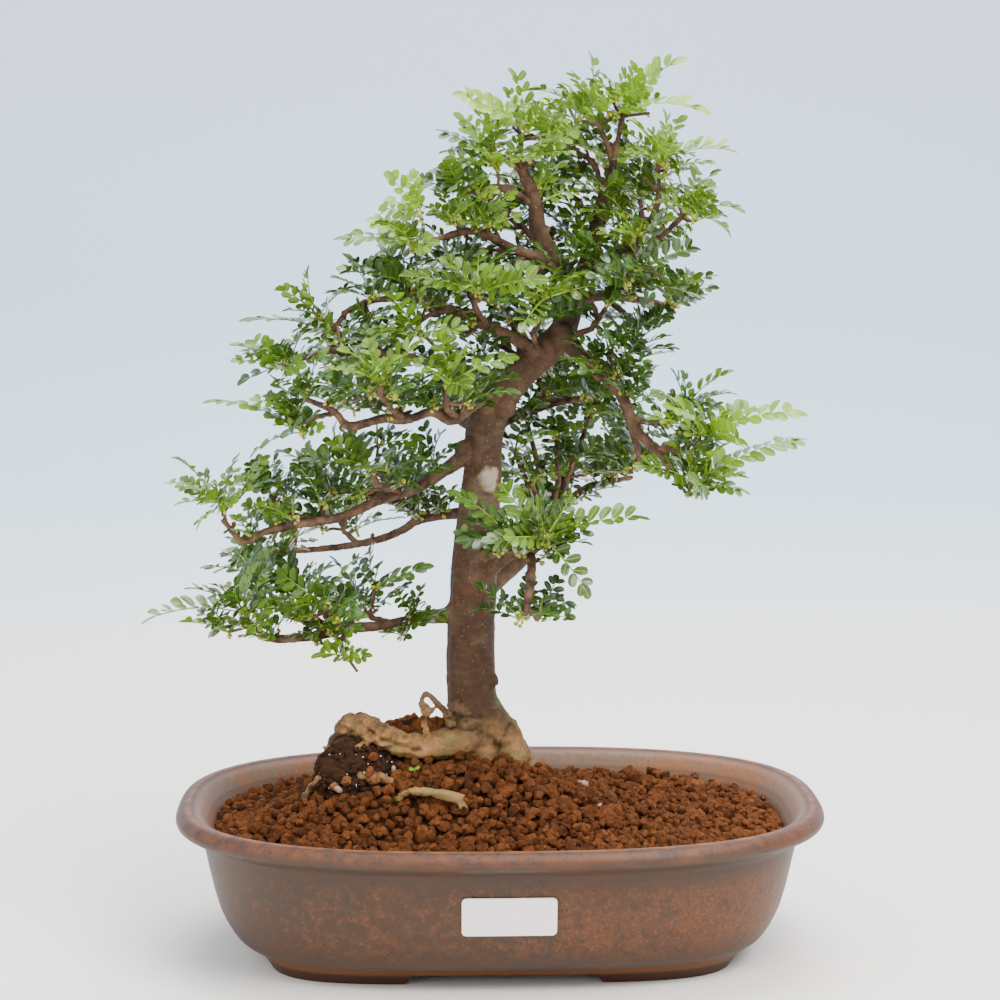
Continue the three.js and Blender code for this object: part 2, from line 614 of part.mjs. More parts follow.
// The line of a twig: from its limb, leaning forward, to the spur
function twigPoints(limb, spur) {
  const place = nearestPlace(limb, spur);
  const nearest = limbPoint(limb, place);
  const away = size(take(spur, nearest));
  let start = place;
  while (start > LIMB_STEP && size(take(limbPoint(limb, start), nearest)) < away * TWIG_LEAN) {
    start -= LIMB_STEP;
  }
  const root = limbPoint(limb, start);
  const heading = unit(take(limbPoint(limb, Math.min(start + 2 * LIMB_STEP, limb.length - 1)), root));
  const length = size(take(spur, root));
  const bend = add(times(add(root, spur), 0.5), times(heading, length * TWIG_BOW));
  const thick = Math.min(root[3] * TWIG_SHARE, TWIG_RADIUS * (1 + length / TWIG_SWELL));
  return [
    [...root.slice(0, 3), thick],
    [...bend, (thick + TWIG_RADIUS) / 2],
    [...spur, TWIG_RADIUS * 0.9],
  ];
}

function headingOf(twig) {
  return unit(take(twig[2], twig[1]));
}

function nearestPlace(limb, spur) {
  let best = 0;
  let least = Infinity;
  for (let place = 0.5; place <= limb.length - 1; place += LIMB_STEP) {
    const distance = size(take(spur, limbPoint(limb, place)));
    if (distance < least) {
      least = distance;
      best = place;
    }
  }
  return best;
}

function makeWood(twigs, grow = 0) {
  const solids = Object.entries(LIMBS).map(([name, limb]) => {
    const isStout = limb[0][3] > STOUT_RADIUS;
    const sides = name === "trunk" ? TRUNK_SIDES : isStout ? STOUT_SIDES : LIMB_SIDES;
    return tube(limb, sides, grow);
  });
  const shoots = twigs.map((points) => tube(points, TWIG_SIDES, grow));
  return join([...solids, ...shoots]);
}

// Fronds

// A frond is its stalk's base, tip, the way its upper face looks, and its leaflets' reach
function frondBetween(heart, tip, roll) {
  const outward = unit([heart[0], heart[1], 0]);
  const skyward = unit(add([0, 0, 1], times(outward, FACE_OUTWARD)));
  const base = add(heart, times(unit(take(tip, heart)), STALK_ROOT));
  const chord = take(tip, base);
  const length = size(chord);
  const along = times(chord, 1 / length);
  const isAligned = Math.abs(dot(along, skyward)) > 0.95;
  const level = unit(cross(along, isAligned ? [0, 0, 1] : skyward));
  const above = cross(level, along);
  const side = add(times(level, Math.cos(roll)), times(above, Math.sin(roll)));
  const face = cross(side, along);
  const reach = Math.max(FROND_REACH_LEAST, length * FROND_REACH);
  return { base, chord, length, side, face, reach };
}

function ribPoint(frond, share) {
  const rise = frond.length * FROND_ARCH * 4 * share * (1 - share);
  return add(add(frond.base, times(frond.chord, share)), times(frond.face, rise));
}

// Two boxes that hold a frond's leafy part, for keeping fronds clear of each other
function frondBoxes(frond) {
  return [[STALK_SHARE, BOX_SPLIT], [BOX_SPLIT, 1]].map(([from, to]) => {
    const [start, end] = [ribPoint(frond, from), ribPoint(frond, to)];
    const along = unit(take(end, start));
    const thick = RIB_THICK / 2 + frond.length * FROND_ARCH * BOX_BULGE + BOX_CLEAR;
    return {
      centre: times(add(start, end), 0.5),
      axes: [along, frond.side, cross(frond.side, along)],
      halves: [size(take(end, start)) / 2 + BOX_CLEAR, frond.reach + BOX_CLEAR, thick],
    };
  });
}

// Boxes along a piece of wood
function woodBoxes(points) {
  return points.slice(1).map((end, i) => {
    const start = points[i];
    const along = unit(take(end, start));
    const hint = Math.abs(along[2]) > 0.9 ? [1, 0, 0] : [0, 0, 1];
    const side = unit(cross(along, hint));
    const radius = Math.max(start[3], end[3]) + SEAT + BOX_CLEAR;
    return {
      centre: times(add(start, end), 0.5),
      axes: [along, side, cross(side, along)],
      halves: [size(take(end, start)) / 2 + radius / 2, radius, radius],
    };
  });
}

// Whether two turned boxes overlap, by looking along each direction that could part them
function boxesMeet(a, b) {
  const between = take(b.centre, a.centre);
  const directions = [...a.axes, ...b.axes];
  for (const first of a.axes) {
    for (const second of b.axes) {
      const third = cross(first, second);
      if (dot(third, third) > 1e-6) {
        directions.push(third);
      }
    }
  }
  return directions.every((direction) => {
    let room = 0;
    for (const box of [a, b]) {
      box.axes.forEach((axis, i) => (room += box.halves[i] * Math.abs(dot(axis, direction))));
    }
    return Math.abs(dot(between, direction)) < room;
  });
}

function isClear(boxes, taken) {
  return boxes.every((box) => taken.every((other) => {
    const room = size(box.halves) + size(other.halves);
    return size(take(box.centre, other.centre)) > room || !boxesMeet(box, other);
  }));
}

// All fronds, spur by spur: first those whose tips are given, then the rest by chance
function placeFronds(twigs, limbs) {
  const random = randomNumbers(FROND_SEED);
  const taken = [...limbs, ...twigs].flatMap((points) => woodBoxes(points));
  const fronds = SPURS.map(() => []);
  const hearts = SPURS.map(([, spur], index) => add(spur, times(headingOf(twigs[index]), BUD_HEART)));
  SPURS.forEach(([, , , , , tips], index) => {
    for (const tip of tips) {
      for (let attempt = 0; attempt < FROND_TRIES; attempt += 1) {
        const aim = tip.map((value) => value + (random() - 0.5) * attempt * TIP_AIM.stray);
        const roll = (random() - 0.5) * (TIP_AIM.roll + attempt * TIP_AIM.rollMore);
        const frond = frondBetween(hearts[index], aim, roll);
        if (isClear(frondBoxes(frond), taken)) {
          fronds[index].push({ ...frond, pairs: PAIRS_OUTER });
          taken.push(...frondBoxes(frond));
          break;
        }
      }
    }
  });
  SPURS.forEach(([, spur, count, length, , tips], index) => {
    const lean = [spur[0] / OPENING.leanX, spur[1] / OPENING.leanY, OPENING.rise];
    const outward = unit(add(headingOf(twigs[index]), lean));
    const first = unit(cross(outward, Math.abs(outward[2]) > 0.9 ? [1, 0, 0] : [0, 0, 1]));
    const second = cross(outward, first);
    const wanted = Math.max(count - tips.length, 2);
    for (let number = 0; number < wanted; number += 1) {
      for (let attempt = 0; attempt < FROND_TRIES; attempt += 1) {
        const turn = number * OPENING.turnStep + random() * OPENING.turnRange + attempt * OPENING.turnMore;
        const open = OPENING.least + random() * OPENING.range + attempt * OPENING.more;
        const across = add(times(first, Math.cos(turn)), times(second, Math.sin(turn)));
        const heading = add(times(outward, Math.cos(open)), times(across, Math.sin(open)));
        heading[2] = Math.max(heading[2], OPENING.lowest) * OPENING.flatten + OPENING.lift;
        const share = (OPENING.shortest + random() * OPENING.lengthRange) * (1 - attempt * OPENING.shorten);
        const roll = (random() - 0.5) * OPENING.roll;
        const frond = frondBetween(hearts[index], add(spur, times(unit(heading), length * share)), roll);
        if (isClear(frondBoxes(frond), taken)) {
          fronds[index].push({ ...frond, pairs: PAIRS_INNER });
          taken.push(...frondBoxes(frond));
          break;
        }
      }
    }
  });
  return fronds;
}

// One frond as a thin arched blade, cut between its leaflets to the rib. Its upper face is roofed
// along the rib, and each leaflet thins from there to its edge.
function frondSolid(frond) {
  const points = [];
  const faces = [];
  const put = (share, sideways, height) => {
    const place = add(ribPoint(frond, share), times(frond.side, sideways));
    points.push(add(place, times(frond.face, height)));
    return points.length - 1;
  };
  const stalkEnd = STALK_SHARE;
  const endStart = 1 - END_LEAFLET_SHARE;
  const pitch = (endStart - stalkEnd) / frond.pairs;
  const base = [put(0, RIB_HALF, 0), put(0, -RIB_HALF, 0)];
  let notch = [put(stalkEnd, RIB_HALF, 0), put(stalkEnd, -RIB_HALF, 0)];
  let ridge = put(stalkEnd, 0, RIB_THICK);
  faces.push([base[0], base[1], ridge], [base[0], ridge, notch[0]], [base[1], notch[1], ridge]);
  faces.push([base[0], notch[1], base[1]], [base[0], notch[0], notch[1]]);
  for (let pair = 0; pair < frond.pairs; pair += 1) {
    const from = stalkEnd + pair * pitch;
    const reach = frond.reach * (pair < frond.pairs - 1 ? FIRST_PAIR_SHARE : 1);
    const nextNotch = [put(from + pitch, RIB_HALF, 0), put(from + pitch, -RIB_HALF, 0)];
    const nextRidge = put(from + pitch, 0, RIB_THICK);
    for (const side of [0, 1]) {
      const sign = side === 0 ? 1 : -1;
      const rear = put(from + pitch * LEAFLET.rear[0], reach * LEAFLET.rear[1] * sign, 0);
      const front = put(from + pitch * LEAFLET.front[0], reach * LEAFLET.front[1] * sign, 0);
      const flip = (face) => faces.push(side === 0 ? face : [face[0], face[2], face[1]]);
      flip([ridge, rear, notch[side]]);
      flip([ridge, front, rear]);
      flip([ridge, nextRidge, front]);
      flip([nextRidge, nextNotch[side], front]);
      flip([notch[side], rear, front]);
      flip([notch[side], front, nextNotch[side]]);
    }
    faces.push([notch[0], nextNotch[1], notch[1]], [notch[0], nextNotch[0], nextNotch[1]]);
    notch = nextNotch;
    ridge = nextRidge;
  }
  const wide = endStart + END_LEAFLET_SHARE * LEAFLET.end[0];
  const shoulder = frond.reach * LEAFLET.end[1];
  const shoulders = [put(wide, shoulder, 0), put(wide, -shoulder, 0)];
  const tip = put(1, 0, 0);
  faces.push([ridge, shoulders[0], notch[0]], [ridge, tip, shoulders[0]]);
  faces.push([ridge, shoulders[1], tip], [ridge, notch[1], shoulders[1]]);
  faces.push([notch[0], shoulders[0], shoulders[1]], [notch[0], shoulders[1], notch[1]]);
  faces.push([shoulders[0], tip, shoulders[1]]);
  return solidFrom(geometryFrom(points, faces));
}

// The bud and flower cluster on a twig's end, which holds its fronds' stalks: a four-sided point
function budSolid(spur, heading) {
  const bud = bareGeometry(new THREE.ConeGeometry(BUD_RADIUS, BUD_HEIGHT, 4));
  bud.translate(0, BUD_HEIGHT / 2 + SEAT, 0);
  bud.applyQuaternion(new THREE.Quaternion().setFromUnitVectors(
    new THREE.Vector3(0, 1, 0),
    new THREE.Vector3(...heading),
  ));
  bud.translate(...spur);
  return solidFrom(bud);
}

function makeSpray(fronds, spur, twig, grownWood) {
  const whole = join([budSolid(spur, headingOf(twig)), ...fronds.map(frondSolid)]);
  return largestPiece(whole.subtract(grownWood));
}

// Assembly

const twigs = SPURS.map(([limb, spur]) => twigPoints(LIMBS[limb], spur));
const limbLines = Object.values(LIMBS);
const wood = makeWood(twigs);
const grownWood = makeWood(twigs, SEAT);
const peat = largestPiece(makePeat().subtract(grownWood));
const soil = largestPiece(makeSoil().subtract(grownWood).subtract(makePeat(SEAT)));

const bonsai = new THREE.Group();

function addPiece(name, slot, solid) {
  const geometry = geometryOf(solid);
  geometry.computeVertexNormals();
  const piece = new THREE.Mesh(geometry, new THREE.MeshStandardMaterial(MATERIALS[slot]));
  piece.name = name;
  bonsai.add(piece);
}

addPiece("pot", "glaze", makePot());
addPiece("drainage_mesh_left", "net", makeNet(-1));
addPiece("drainage_mesh_right", "net", makeNet(1));
addPiece("label", "sticker", makeSticker());
addPiece("akadama_soil", "akadama", soil);
addPiece("peat_mound", "peat", peat);
addPiece("wood", "bark", wood);
placeFronds(twigs, limbLines).forEach((fronds, index) => {
  const [, spur, , , isYoung] = SPURS[index];
  const spray = makeSpray(fronds, spur, twigs[index], grownWood);
  addPiece(`spray_${String(index + 1).padStart(2, "0")}`, isYoung ? "young_leaf" : "leaf", spray);
});

// The origin is at the middle of the whole object's footprint, on the surface it stands on
const extent = new THREE.Box3().setFromObject(bonsai);
const middle = extent.getCenter(new THREE.Vector3());
bonsai.position.set(-middle.x, -middle.y, -extent.min.z);

export default bonsai;
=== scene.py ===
import math

import bpy
import numpy as np
from mathutils import Matrix, Vector, kdtree, noise


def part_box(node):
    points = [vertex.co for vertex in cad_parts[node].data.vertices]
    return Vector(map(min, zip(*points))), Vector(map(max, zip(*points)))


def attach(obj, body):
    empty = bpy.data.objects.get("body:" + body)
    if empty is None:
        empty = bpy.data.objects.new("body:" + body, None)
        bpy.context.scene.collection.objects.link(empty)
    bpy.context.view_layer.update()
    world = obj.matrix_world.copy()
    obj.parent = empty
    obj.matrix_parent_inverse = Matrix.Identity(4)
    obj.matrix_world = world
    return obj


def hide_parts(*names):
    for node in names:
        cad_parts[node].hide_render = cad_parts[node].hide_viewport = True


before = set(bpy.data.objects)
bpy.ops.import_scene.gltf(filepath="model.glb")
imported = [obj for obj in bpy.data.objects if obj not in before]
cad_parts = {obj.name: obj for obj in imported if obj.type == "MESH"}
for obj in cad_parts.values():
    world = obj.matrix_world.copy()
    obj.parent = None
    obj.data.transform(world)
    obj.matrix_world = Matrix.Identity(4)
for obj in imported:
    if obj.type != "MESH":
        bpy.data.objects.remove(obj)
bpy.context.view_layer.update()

bl_info = {
    "name": "Japanese Pepper Bonsai",
    "version": (1, 0, 0),
    "blender": (4, 5, 0),
    "location": "3D View > Sidebar > Bonsai",
    "description": "Dresses a Japanese pepper tree and its oval glazed pot around their solids",
    "category": "Add Mesh",
}

# Lengths below are millimetres from the pot's middle on the floor; place() turns them to metres.
MM = 0.001
POT_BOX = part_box("pot")
ORIGIN = np.array([(POT_BOX[0].x + POT_BOX[1].x) / 2, (POT_BOX[0].y + POT_BOX[1].y) / 2, 0.0])

# Camera, worked out from the pot's rim and the trunk
CAMERA_PLACE = (-39.6, -1204.5, 378)
CAMERA_YAW = -0.033
CAMERA_PITCH = 0.132
CAMERA_LENS = 91.7
CAMERA_SENSOR = 36
CAMERA_CLIP = (0.05, 30)

# Stage, in metres
BACKDROP_TOP = 1.1
LIGHT_AIM = (0, 0, 0.2)
LIGHTS = {
    "Key": {"energy": 52, "size": 1.1, "spot": (0.75, -1.0, 1.7)},
    "Fill": {"energy": 18, "size": 1.6, "spot": (-1.5, -1.2, 1.1)},
    "Top": {"energy": 48, "size": 1.4, "spot": (0.1, 0.3, 1.9)},
}
ROOM_LIGHT = 1.1

# First numbers of the rows of random numbers
SEEDS = {
    "grains": 4409, "peat": 733, "stubs": 911, "twigs": 911, "shoots": 1723, "leaves": 31337, "buds": 2027,
}

# Pot: profiles as [distance inside the lip's outline, height]
POT_LENGTH = 311
POT_WIDTH = 217
POT_CURVE = 2.67
SQUARE_FROM = 14
SQUARE_GROWTH = 0.0018
POT_FACETS = 168
POT_PROFILE = [
    [42, 9], [37, 9.3], [32.5, 10.6], [28, 13.5], [24, 19], [20.6, 25.5], [18.4, 32.5], [16.8, 39],
    [12.8, 58], [11.6, 60.6], [8.5, 62.8], [3, 65], [0.4, 67], [0, 69.6], [2.2, 73], [6, 74], [9, 72.9],
    [12, 71], [16, 65], [19.5, 57], [24, 38], [34, 19], [42, 14.5], [47, 14],
]
WALL_ROWS = 9
LIP_FROM = 66  # the height where the lip begins, and how far in the inner side starts there and below
LIP_INSIDE = 8
WALL_INSIDE = 1.6
FOOT_RING = [[38, 10.5], [40.6, 6], [41.6, 5], [45.2, 0], [57, 0], [57, 10.5]]
FOOT_GAP_LONG = 94
FOOT_GAP_SHORT = 56
FOOT_GAP_SLANT = 9
FOOT_GAP_TOP = 5
DRAIN_RADIUS = 9
DRAIN_OFFSET = 48
STICKER = {"width": 43, "height": 18.6, "thick": 0.6, "centre": (1.4, 40.8), "corner": 2.2, "seat": 0.35}

# Soil
SOIL_EDGE = 61
SOIL_RISE = 34
SOIL_TILT = 0.045
SOIL_INSET = 19
MOUND = {"x": -28, "y": -8, "long": 75, "wide": 47, "shape": 1.6}
PEAT_CENTRE = (-69, -19, 88)
PEAT_RADII = (20, 15, 17.5)
PILE_CENTRE = (-39, 4, 96)
PILE_RADII = (24, 9, 14.5)
BED_ROWS = [[43, 15.5], [34.8, 20.5], [24.7, 38.5], [20.2, 57]]
BED_ROWS += [[18.8 + step, 58.8] for step in (0, 4, 9, 15, 22, 30, 39, 49, 59, 69, 79, 88)]
BED_TOP = 58
BED_DEPTH = 4
PEBBLES = [
    (-77, -33, 5.5, 2.7), (-51, -26, 1.5, 2.0), (41, 22, 2.8, 4.0), (47, -22, 2.2, 1.3),
    (-20, 52, 2.6, 2.3), (98, -20, 2.2, 1.4), (-88, -40, 2.2, 1.2),
]
SEEDLING = (-41.4, -31.0)

# Wood: each limb is a list of [x, y, z, radius] from its root to its tip
LIMBS = {
    "trunk": [
        [-9, 8, 62, 15], [-9, 7, 83, 15.6], [-10, 5, 97, 14.4], [-13, 2, 114, 12.3], [-14, 0, 146, 11.7],
        [-13, 0, 168, 11.5], [-12, 0, 190, 11], [-10, 0, 212, 10.2], [-8, 0, 233, 9.3], [-7, 2, 252, 9.5],
        [-2, 4, 267, 10.9], [9, 4, 279, 9], [22, 5, 289, 7.6], [31, 6, 299, 6.6], [34, 6, 313, 5.7],
        [34, 8, 325, 4.3],
    ],
    "root_left": [
        [-12, 0, 105, 10.6], [-23, -8, 102, 8], [-36, -14, 101, 6], [-48, -16, 103, 5.7],
        [-60, -16, 109, 6.4], [-70, -13, 111, 5.4], [-78, -9, 102, 4.3], [-82, -6, 90, 2.9],
        [-86, -4, 74, 1.9],
    ],
    "root_stub": [
        [-73, -12, 103, 2], [-74, -23, 95, 1.6], [-66, -30, 91.6, 1.8], [-58, -31.5, 90.6, 1.9],
        [-51, -31.5, 88.8, 1.5],
    ],
    "root_right": [
        [-9, 1, 120, 8], [-4.5, 1, 112, 8.5], [1, 0, 104, 8.9], [5, 0, 96, 9.1], [9, -1, 87, 8.9],
        [12, -2, 70, 7],
    ],
    "root_back": [[-4, 12, 104, 8.7], [1, 28, 92, 5.9], [5, 40, 75, 3.5]],
    "root_thin": [[-61, -20, 106, 2.4], [-74, -24, 98, 1.9], [-85, -24, 90, 1.6], [-94, -22, 78, 1.4]],
    "root_cut": [
        [-13, 0, 86, 4], [-42, -28, 78, 2.4], [-49, -39, 81, 1.6], [-44, -45, 87, 1.5], [-37, -47.5, 88, 2],
        [-30, -48.5, 86.6, 2.5], [-24, -49, 85.4, 2.6], [-19.5, -49, 84, 2.9],
    ],
    "root_loop": [
        [-23, -12, 111, 2], [-26, -17, 118, 1.7], [-31, -20, 124.5, 1.5], [-35.4, -21, 128.8, 1.3],
        [-37.8, -21, 125, 1.2], [-37, -20, 120, 1.2], [-35, -20, 117, 1.3], [-36.4, -19, 114, 1.5],
        [-35.4, -18, 109, 1.5], [-33.5, -17, 104, 1.6],
    ],
    "low_left": [
        [-13, 0, 166, 4.3], [-25, -3, 163, 3.8], [-41, -8, 162, 2.8], [-56, -14, 160, 2.6],
        [-71, -20, 160, 2.5], [-85, -26, 158, 2.4], [-105, -30, 157, 2.3], [-117, -34, 162, 2.1],
    ],
    "mid_left": [
        [-9, 0, 246, 4.3], [-19, -5, 238, 3.8], [-31, -10, 231, 3], [-42, -16, 225, 2.7],
        [-57, -20, 221, 2.5], [-74, -26, 214, 2.3], [-89, -30, 212, 2.1], [-110, -34, 208, 1.9],
        [-120, -36, 204, 1.7], [-129, -40, 215, 1.4],
    ],
    "back_left": [
        [-9, 4, 212, 3.8], [-21, 18, 209, 2.9], [-38, 34, 204, 2.4], [-46, 42, 198, 2.3],
        [-58, 50, 192, 2.1], [-73, 56, 188, 2], [-92, 62, 185, 1.8], [-116, 68, 183, 1.6],
    ],
    "front_left": [
        [-3, -4, 269, 3.8], [-12, -20, 266, 2.8], [-23, -34, 260, 2.8], [-32, -38, 264, 2.3],
        [-44, -44, 261, 2.2], [-55, -48, 262, 2.2], [-70, -52, 259, 2.2], [-77, -54, 266, 1.8],
        [-90, -56, 272, 1.3],
    ],
    "shoulder_low": [
        [4, 0, 274, 4.3], [-14, -4, 280, 2.8], [-33, -10, 285, 2.3], [-56, -16, 290, 2],
        [-79, -22, 291, 1.7], [-95, -28, 287, 1.4],
    ],
    "shoulder_high": [
        [19, 0, 289, 3.8], [0, -8, 299, 2.8], [-21, -14, 309, 2.3], [-42, -18, 315, 2],
        [-61, -22, 314, 1.7], [-74, -26, 308, 1.4],
    ],
    "right_arm": [
        [32, 4, 295, 4.7], [40, -4, 285, 3.8], [49, -12, 278, 3.3], [54, -18, 273, 3], [58, -24, 266, 2.9],
        [62, -28, 255, 2.8], [68, -30, 249, 2.5], [74, -34, 242, 2.3], [80, -38, 235, 1.9],
        [83, -40, 229, 1.6],
    ],
    "right_back": [
        [-7, 4, 174, 4.8], [5, 20, 180, 3.9], [17, 34, 189, 3.4], [26, 44, 196, 3], [30, 52, 207, 2.7],
        [38, 58, 211, 2.2], [47, 64, 216, 2], [58, 68, 218, 1.7], [70, 72, 220, 1.3],
    ],
    "right_front": [
        [-6, -6, 184, 3.8], [3, -22, 194, 2.8], [11, -38, 199, 2.5], [13, -50, 195, 2.4],
        [12, -56, 185, 2.3], [10, -60, 174, 2.1],
    ],
    "back_up": [
        [10, 10, 276, 4.3], [15, 34, 283, 3.2], [11, 52, 296, 2.5], [-3, 64, 310, 2], [-20, 70, 320, 1.5],
    ],
    "back_low": [
        [-5, 8, 251, 3.8], [5, 34, 253, 2.9], [24, 54, 259, 2.5], [45, 66, 260, 2], [58, 72, 254, 1.5],
    ],
    "far_back_left": [
        [-7, 8, 247, 3.8], [-15, 34, 251, 2.7], [-33, 54, 259, 2.3], [-53, 64, 263, 1.8],
        [-70, 68, 260, 1.5],
    ],
    "crown_left": [
        [34, 6, 318, 5.2], [26, 0, 331, 4.7], [18, -6, 346, 4.2], [16, -10, 360, 3.5], [10, -14, 374, 2.5],
        [7, -16, 383, 1.7],
    ],
    "crown_mid": [
        [35, 8, 317, 4.7], [42, 12, 330, 4.3], [46, 14, 346, 3.3], [49, 14, 360, 2.8], [53, 12, 371, 2.1],
        [56, 10, 388, 1.7],
    ],
    "crown_right": [
        [41, 8, 325, 3.8], [50, 4, 331, 3], [57, 0, 336, 2.8], [68, -4, 336, 2.2], [77, -8, 345, 1.7],
    ],
    "crown_low_left": [
        [26, 0, 331, 3.8], [7, -10, 337, 2.6], [-12, -18, 346, 2.1], [-28, -24, 343, 1.7],
    ],
    "crown_back": [[37, 10, 322, 3.8], [45, 32, 330, 2.7], [51, 46, 343, 2.2], [49, 52, 357, 1.7]],
    "crown_right_back": [[35, 8, 313, 3.8], [52, 26, 314, 2.7], [70, 40, 311, 2.1], [84, 48, 308, 1.6]],
}

# Leafy spurs: [limb, spur's place, number of fronds, their length, 1 where the growth is young,
# tips of the fronds that stand out of the crown]
SPURS = [
    ["crown_mid", [59, 10, 401], 7, 34, 1, [[87, 8, 426], [101, 2, 421], [101, -6, 406], [43, 16, 417]]],
    ["crown_mid", [42, 4, 399], 5, 30, 1, [[14, 0, 412], [38, 14, 414]]],
    ["crown_left", [11, -16, 390], 6, 32, 1, [[-21, -16, 409], [-15, -34, 397]]],
    ["crown_left", [-5, -20, 380], 5, 28, 0, [[-30, -22, 392]]],
    ["crown_right", [74, -6, 377], 6, 34, 1, [[110, -6, 383], [98, -20, 393]]],
    ["crown_right", [86, -12, 354], 6, 26, 1, [[108, -12, 344], [81, -16, 334]]],
    ["crown_left", [-16, -22, 364], 6, 30, 0, [[-32, -26, 374]]],
    ["crown_back", [30, 34, 366], 5, 32, 0, []],
    ["crown_back", [60, 36, 375], 5, 32, 0, []],
    ["crown_mid", [36, 28, 384], 5, 30, 0, []],
    ["crown_right", [67, 14, 360], 5, 30, 0, []],
    ["crown_left", [3, 16, 352], 5, 30, 0, []],
    ["crown_low_left", [-38, -28, 340], 6, 32, 1, [[-76, -30, 342], [-45, -20, 357]]],
    ["crown_low_left", [-18, 4, 333], 5, 32, 0, []],
    ["shoulder_high", [-11, -34, 317], 6, 34, 1, [[-2, -52, 331], [-22, -50, 333]]],
    ["crown_low_left", [20, -30, 317], 6, 34, 1, [[37, -52, 328], [7, -60, 303]]],
    ["crown_right_back", [60, 14, 318], 6, 32, 0, [[96, 8, 314]]],
    ["crown_right", [64, -22, 329], 5, 28, 0, []],
    ["shoulder_high", [-48, -2, 323], 6, 34, 0, [[-76, -6, 328]]],
    ["shoulder_high", [-77, -26, 301], 6, 34, 0, [[-120, -30, 305], [-109, -50, 296]]],
    ["shoulder_low", [-98, -30, 285], 6, 30, 0, [[-124, -32, 295], [-121, -30, 276]]],
    ["shoulder_low", [-66, 8, 284], 5, 32, 0, []],
    ["shoulder_high", [-39, -44, 300], 5, 32, 1, []],
    ["front_left", [-56, -62, 279], 5, 30, 1, [[-73, -78, 296]]],
    ["front_left", [-90, -52, 258], 5, 40, 0, [[-134, -56, 271], [-115, -50, 246]]],
    ["front_left", [-25, -56, 277], 6, 30, 1, [[-29, -70, 302]]],
    ["mid_left", [-128, -40, 220], 7, 24, 1, [[-137, -44, 208], [-136, -40, 232], [-121, -38, 245]]],
    ["mid_left", [-108, -14, 222], 5, 28, 0, []],
    ["mid_left", [-82, 0, 228], 5, 30, 0, []],
    ["mid_left", [-60, -38, 236], 5, 30, 0, []],
    ["back_left", [-114, 56, 182], 6, 30, 0, []],
    ["back_left", [-78, 66, 200], 5, 32, 0, []],
    ["back_left", [-50, 46, 217], 6, 30, 0, []],
    ["low_left", [-119, -36, 169], 7, 34, 0, [[-166, -42, 168], [-146, -30, 175]]],
    ["low_left", [-96, -6, 172], 5, 30, 0, []],
    ["low_left", [-82, -42, 174], 5, 32, 0, []],
    ["low_left", [-65, -4, 166], 6, 34, 0, [[-33, -8, 188]]],
    ["low_left", [-74, -30, 150], 5, 18, 1, []],
    ["low_left", [-112, 8, 176], 5, 28, 0, []],
    ["right_arm", [58, -4, 286], 5, 30, 0, [[84, -10, 290]]],
    ["right_arm", [83, -30, 263], 6, 30, 0, [[108, -34, 272], [79, -22, 282]]],
    ["right_arm", [90, -42, 252], 6, 44, 1, [[138, -46, 264], [119, -70, 250]]],
    ["right_arm", [87, -42, 230], 7, 44, 1, [[141, -34, 251], [112, -50, 227]]],
    ["right_arm", [66, -6, 238], 5, 30, 0, []],
    ["right_front", [18, -54, 206], 7, 38, 1, [[64, -66, 218], [6, -78, 233], [39, -60, 182]]],
    ["right_front", [5, -56, 205], 5, 34, 0, [[-24, -58, 230], [-17, -64, 212]]],
    ["right_back", [34, 50, 227], 6, 30, 0, []],
    ["right_back", [59, 76, 226], 5, 30, 0, []],
    ["back_low", [47, 70, 255], 5, 30, 0, []],
    ["back_low", [24, 60, 272], 5, 30, 0, []],
    ["back_up", [-8, 68, 310], 6, 32, 0, []],
    ["far_back_left", [-62, 70, 259], 6, 32, 0, []],
]

# Leafy shoots in the heart of the crown: the limb that each grows from, and its tip
HEART_SHOOTS = [
    ("crown_low_left", (2, -14, 326)), ("crown_low_left", (14, -17, 318)), ("crown_low_left", (28, -17, 323)),
    ("crown_right", (44, -13, 331)), ("shoulder_high", (18, -16, 304)), ("shoulder_high", (-14, -18, 328)),
    ("right_arm", (50, -10, 311)), ("crown_right", (60, -9, 326)), ("crown_mid", (34, 24, 342)),
    ("crown_back", (28, 28, 331)), ("crown_low_left", (9, 22, 328)), ("crown_right_back", (48, 26, 300)),
    ("crown_right_back", (66, 22, 298)), ("crown_left", (18, 20, 353)), ("back_low", (24, 28, 266)),
    ("back_low", (42, 26, 265)), ("back_up", (-8, 36, 292)), ("back_up", (6, 26, 302)),
    ("shoulder_high", (-28, 8, 312)), ("right_back", (14, 32, 254)), ("right_back", (8, 26, 238)),
    ("right_back", (29, 38, 243)), ("back_low", (21, 40, 268)), ("right_back", (46, 44, 254)),
    ("right_back", (16, 30, 223)), ("right_back", (38, 42, 232)),
]

# Bark: the pale wound on the trunk, and the heights and places where the bark changes
WOUND = (-4, -11, 229)
SOIL_REACH = 118
FOOT_TOP = 128
ROOT_TOP = 124
ROOT_FROM = -22
ROOT_END_FROM = -60

# Fronds, in the same places as the solids' fronds
FROND_SEED = 20611
FROND_REACH = 0.21
FROND_REACH_LEAST = 6
FROND_ARCH = 0.09
FACE_OUTWARD = 0.8
STALK_SHARE = 0.2
STALK_ROOT = 0.9
RIB_THICK = 1.3
BUD_HEART = 1.9
FROND_TRIES = 60
OPENING = {
    "turn_step": 2.4, "turn_range": 1.2, "turn_more": 0.7, "least": 0.6, "range": 0.75, "more": 0.015,
    "lowest": -0.1, "flatten": 0.6, "lift": 0.12, "shortest": 0.8, "length_range": 0.4, "shorten": 0.008,
    "roll": 1.1,
}
BOX_CLEAR = 0.5
SEAT = 0.35
TWIG_RADIUS = 1.1
TWIG_LEAN = 0.6

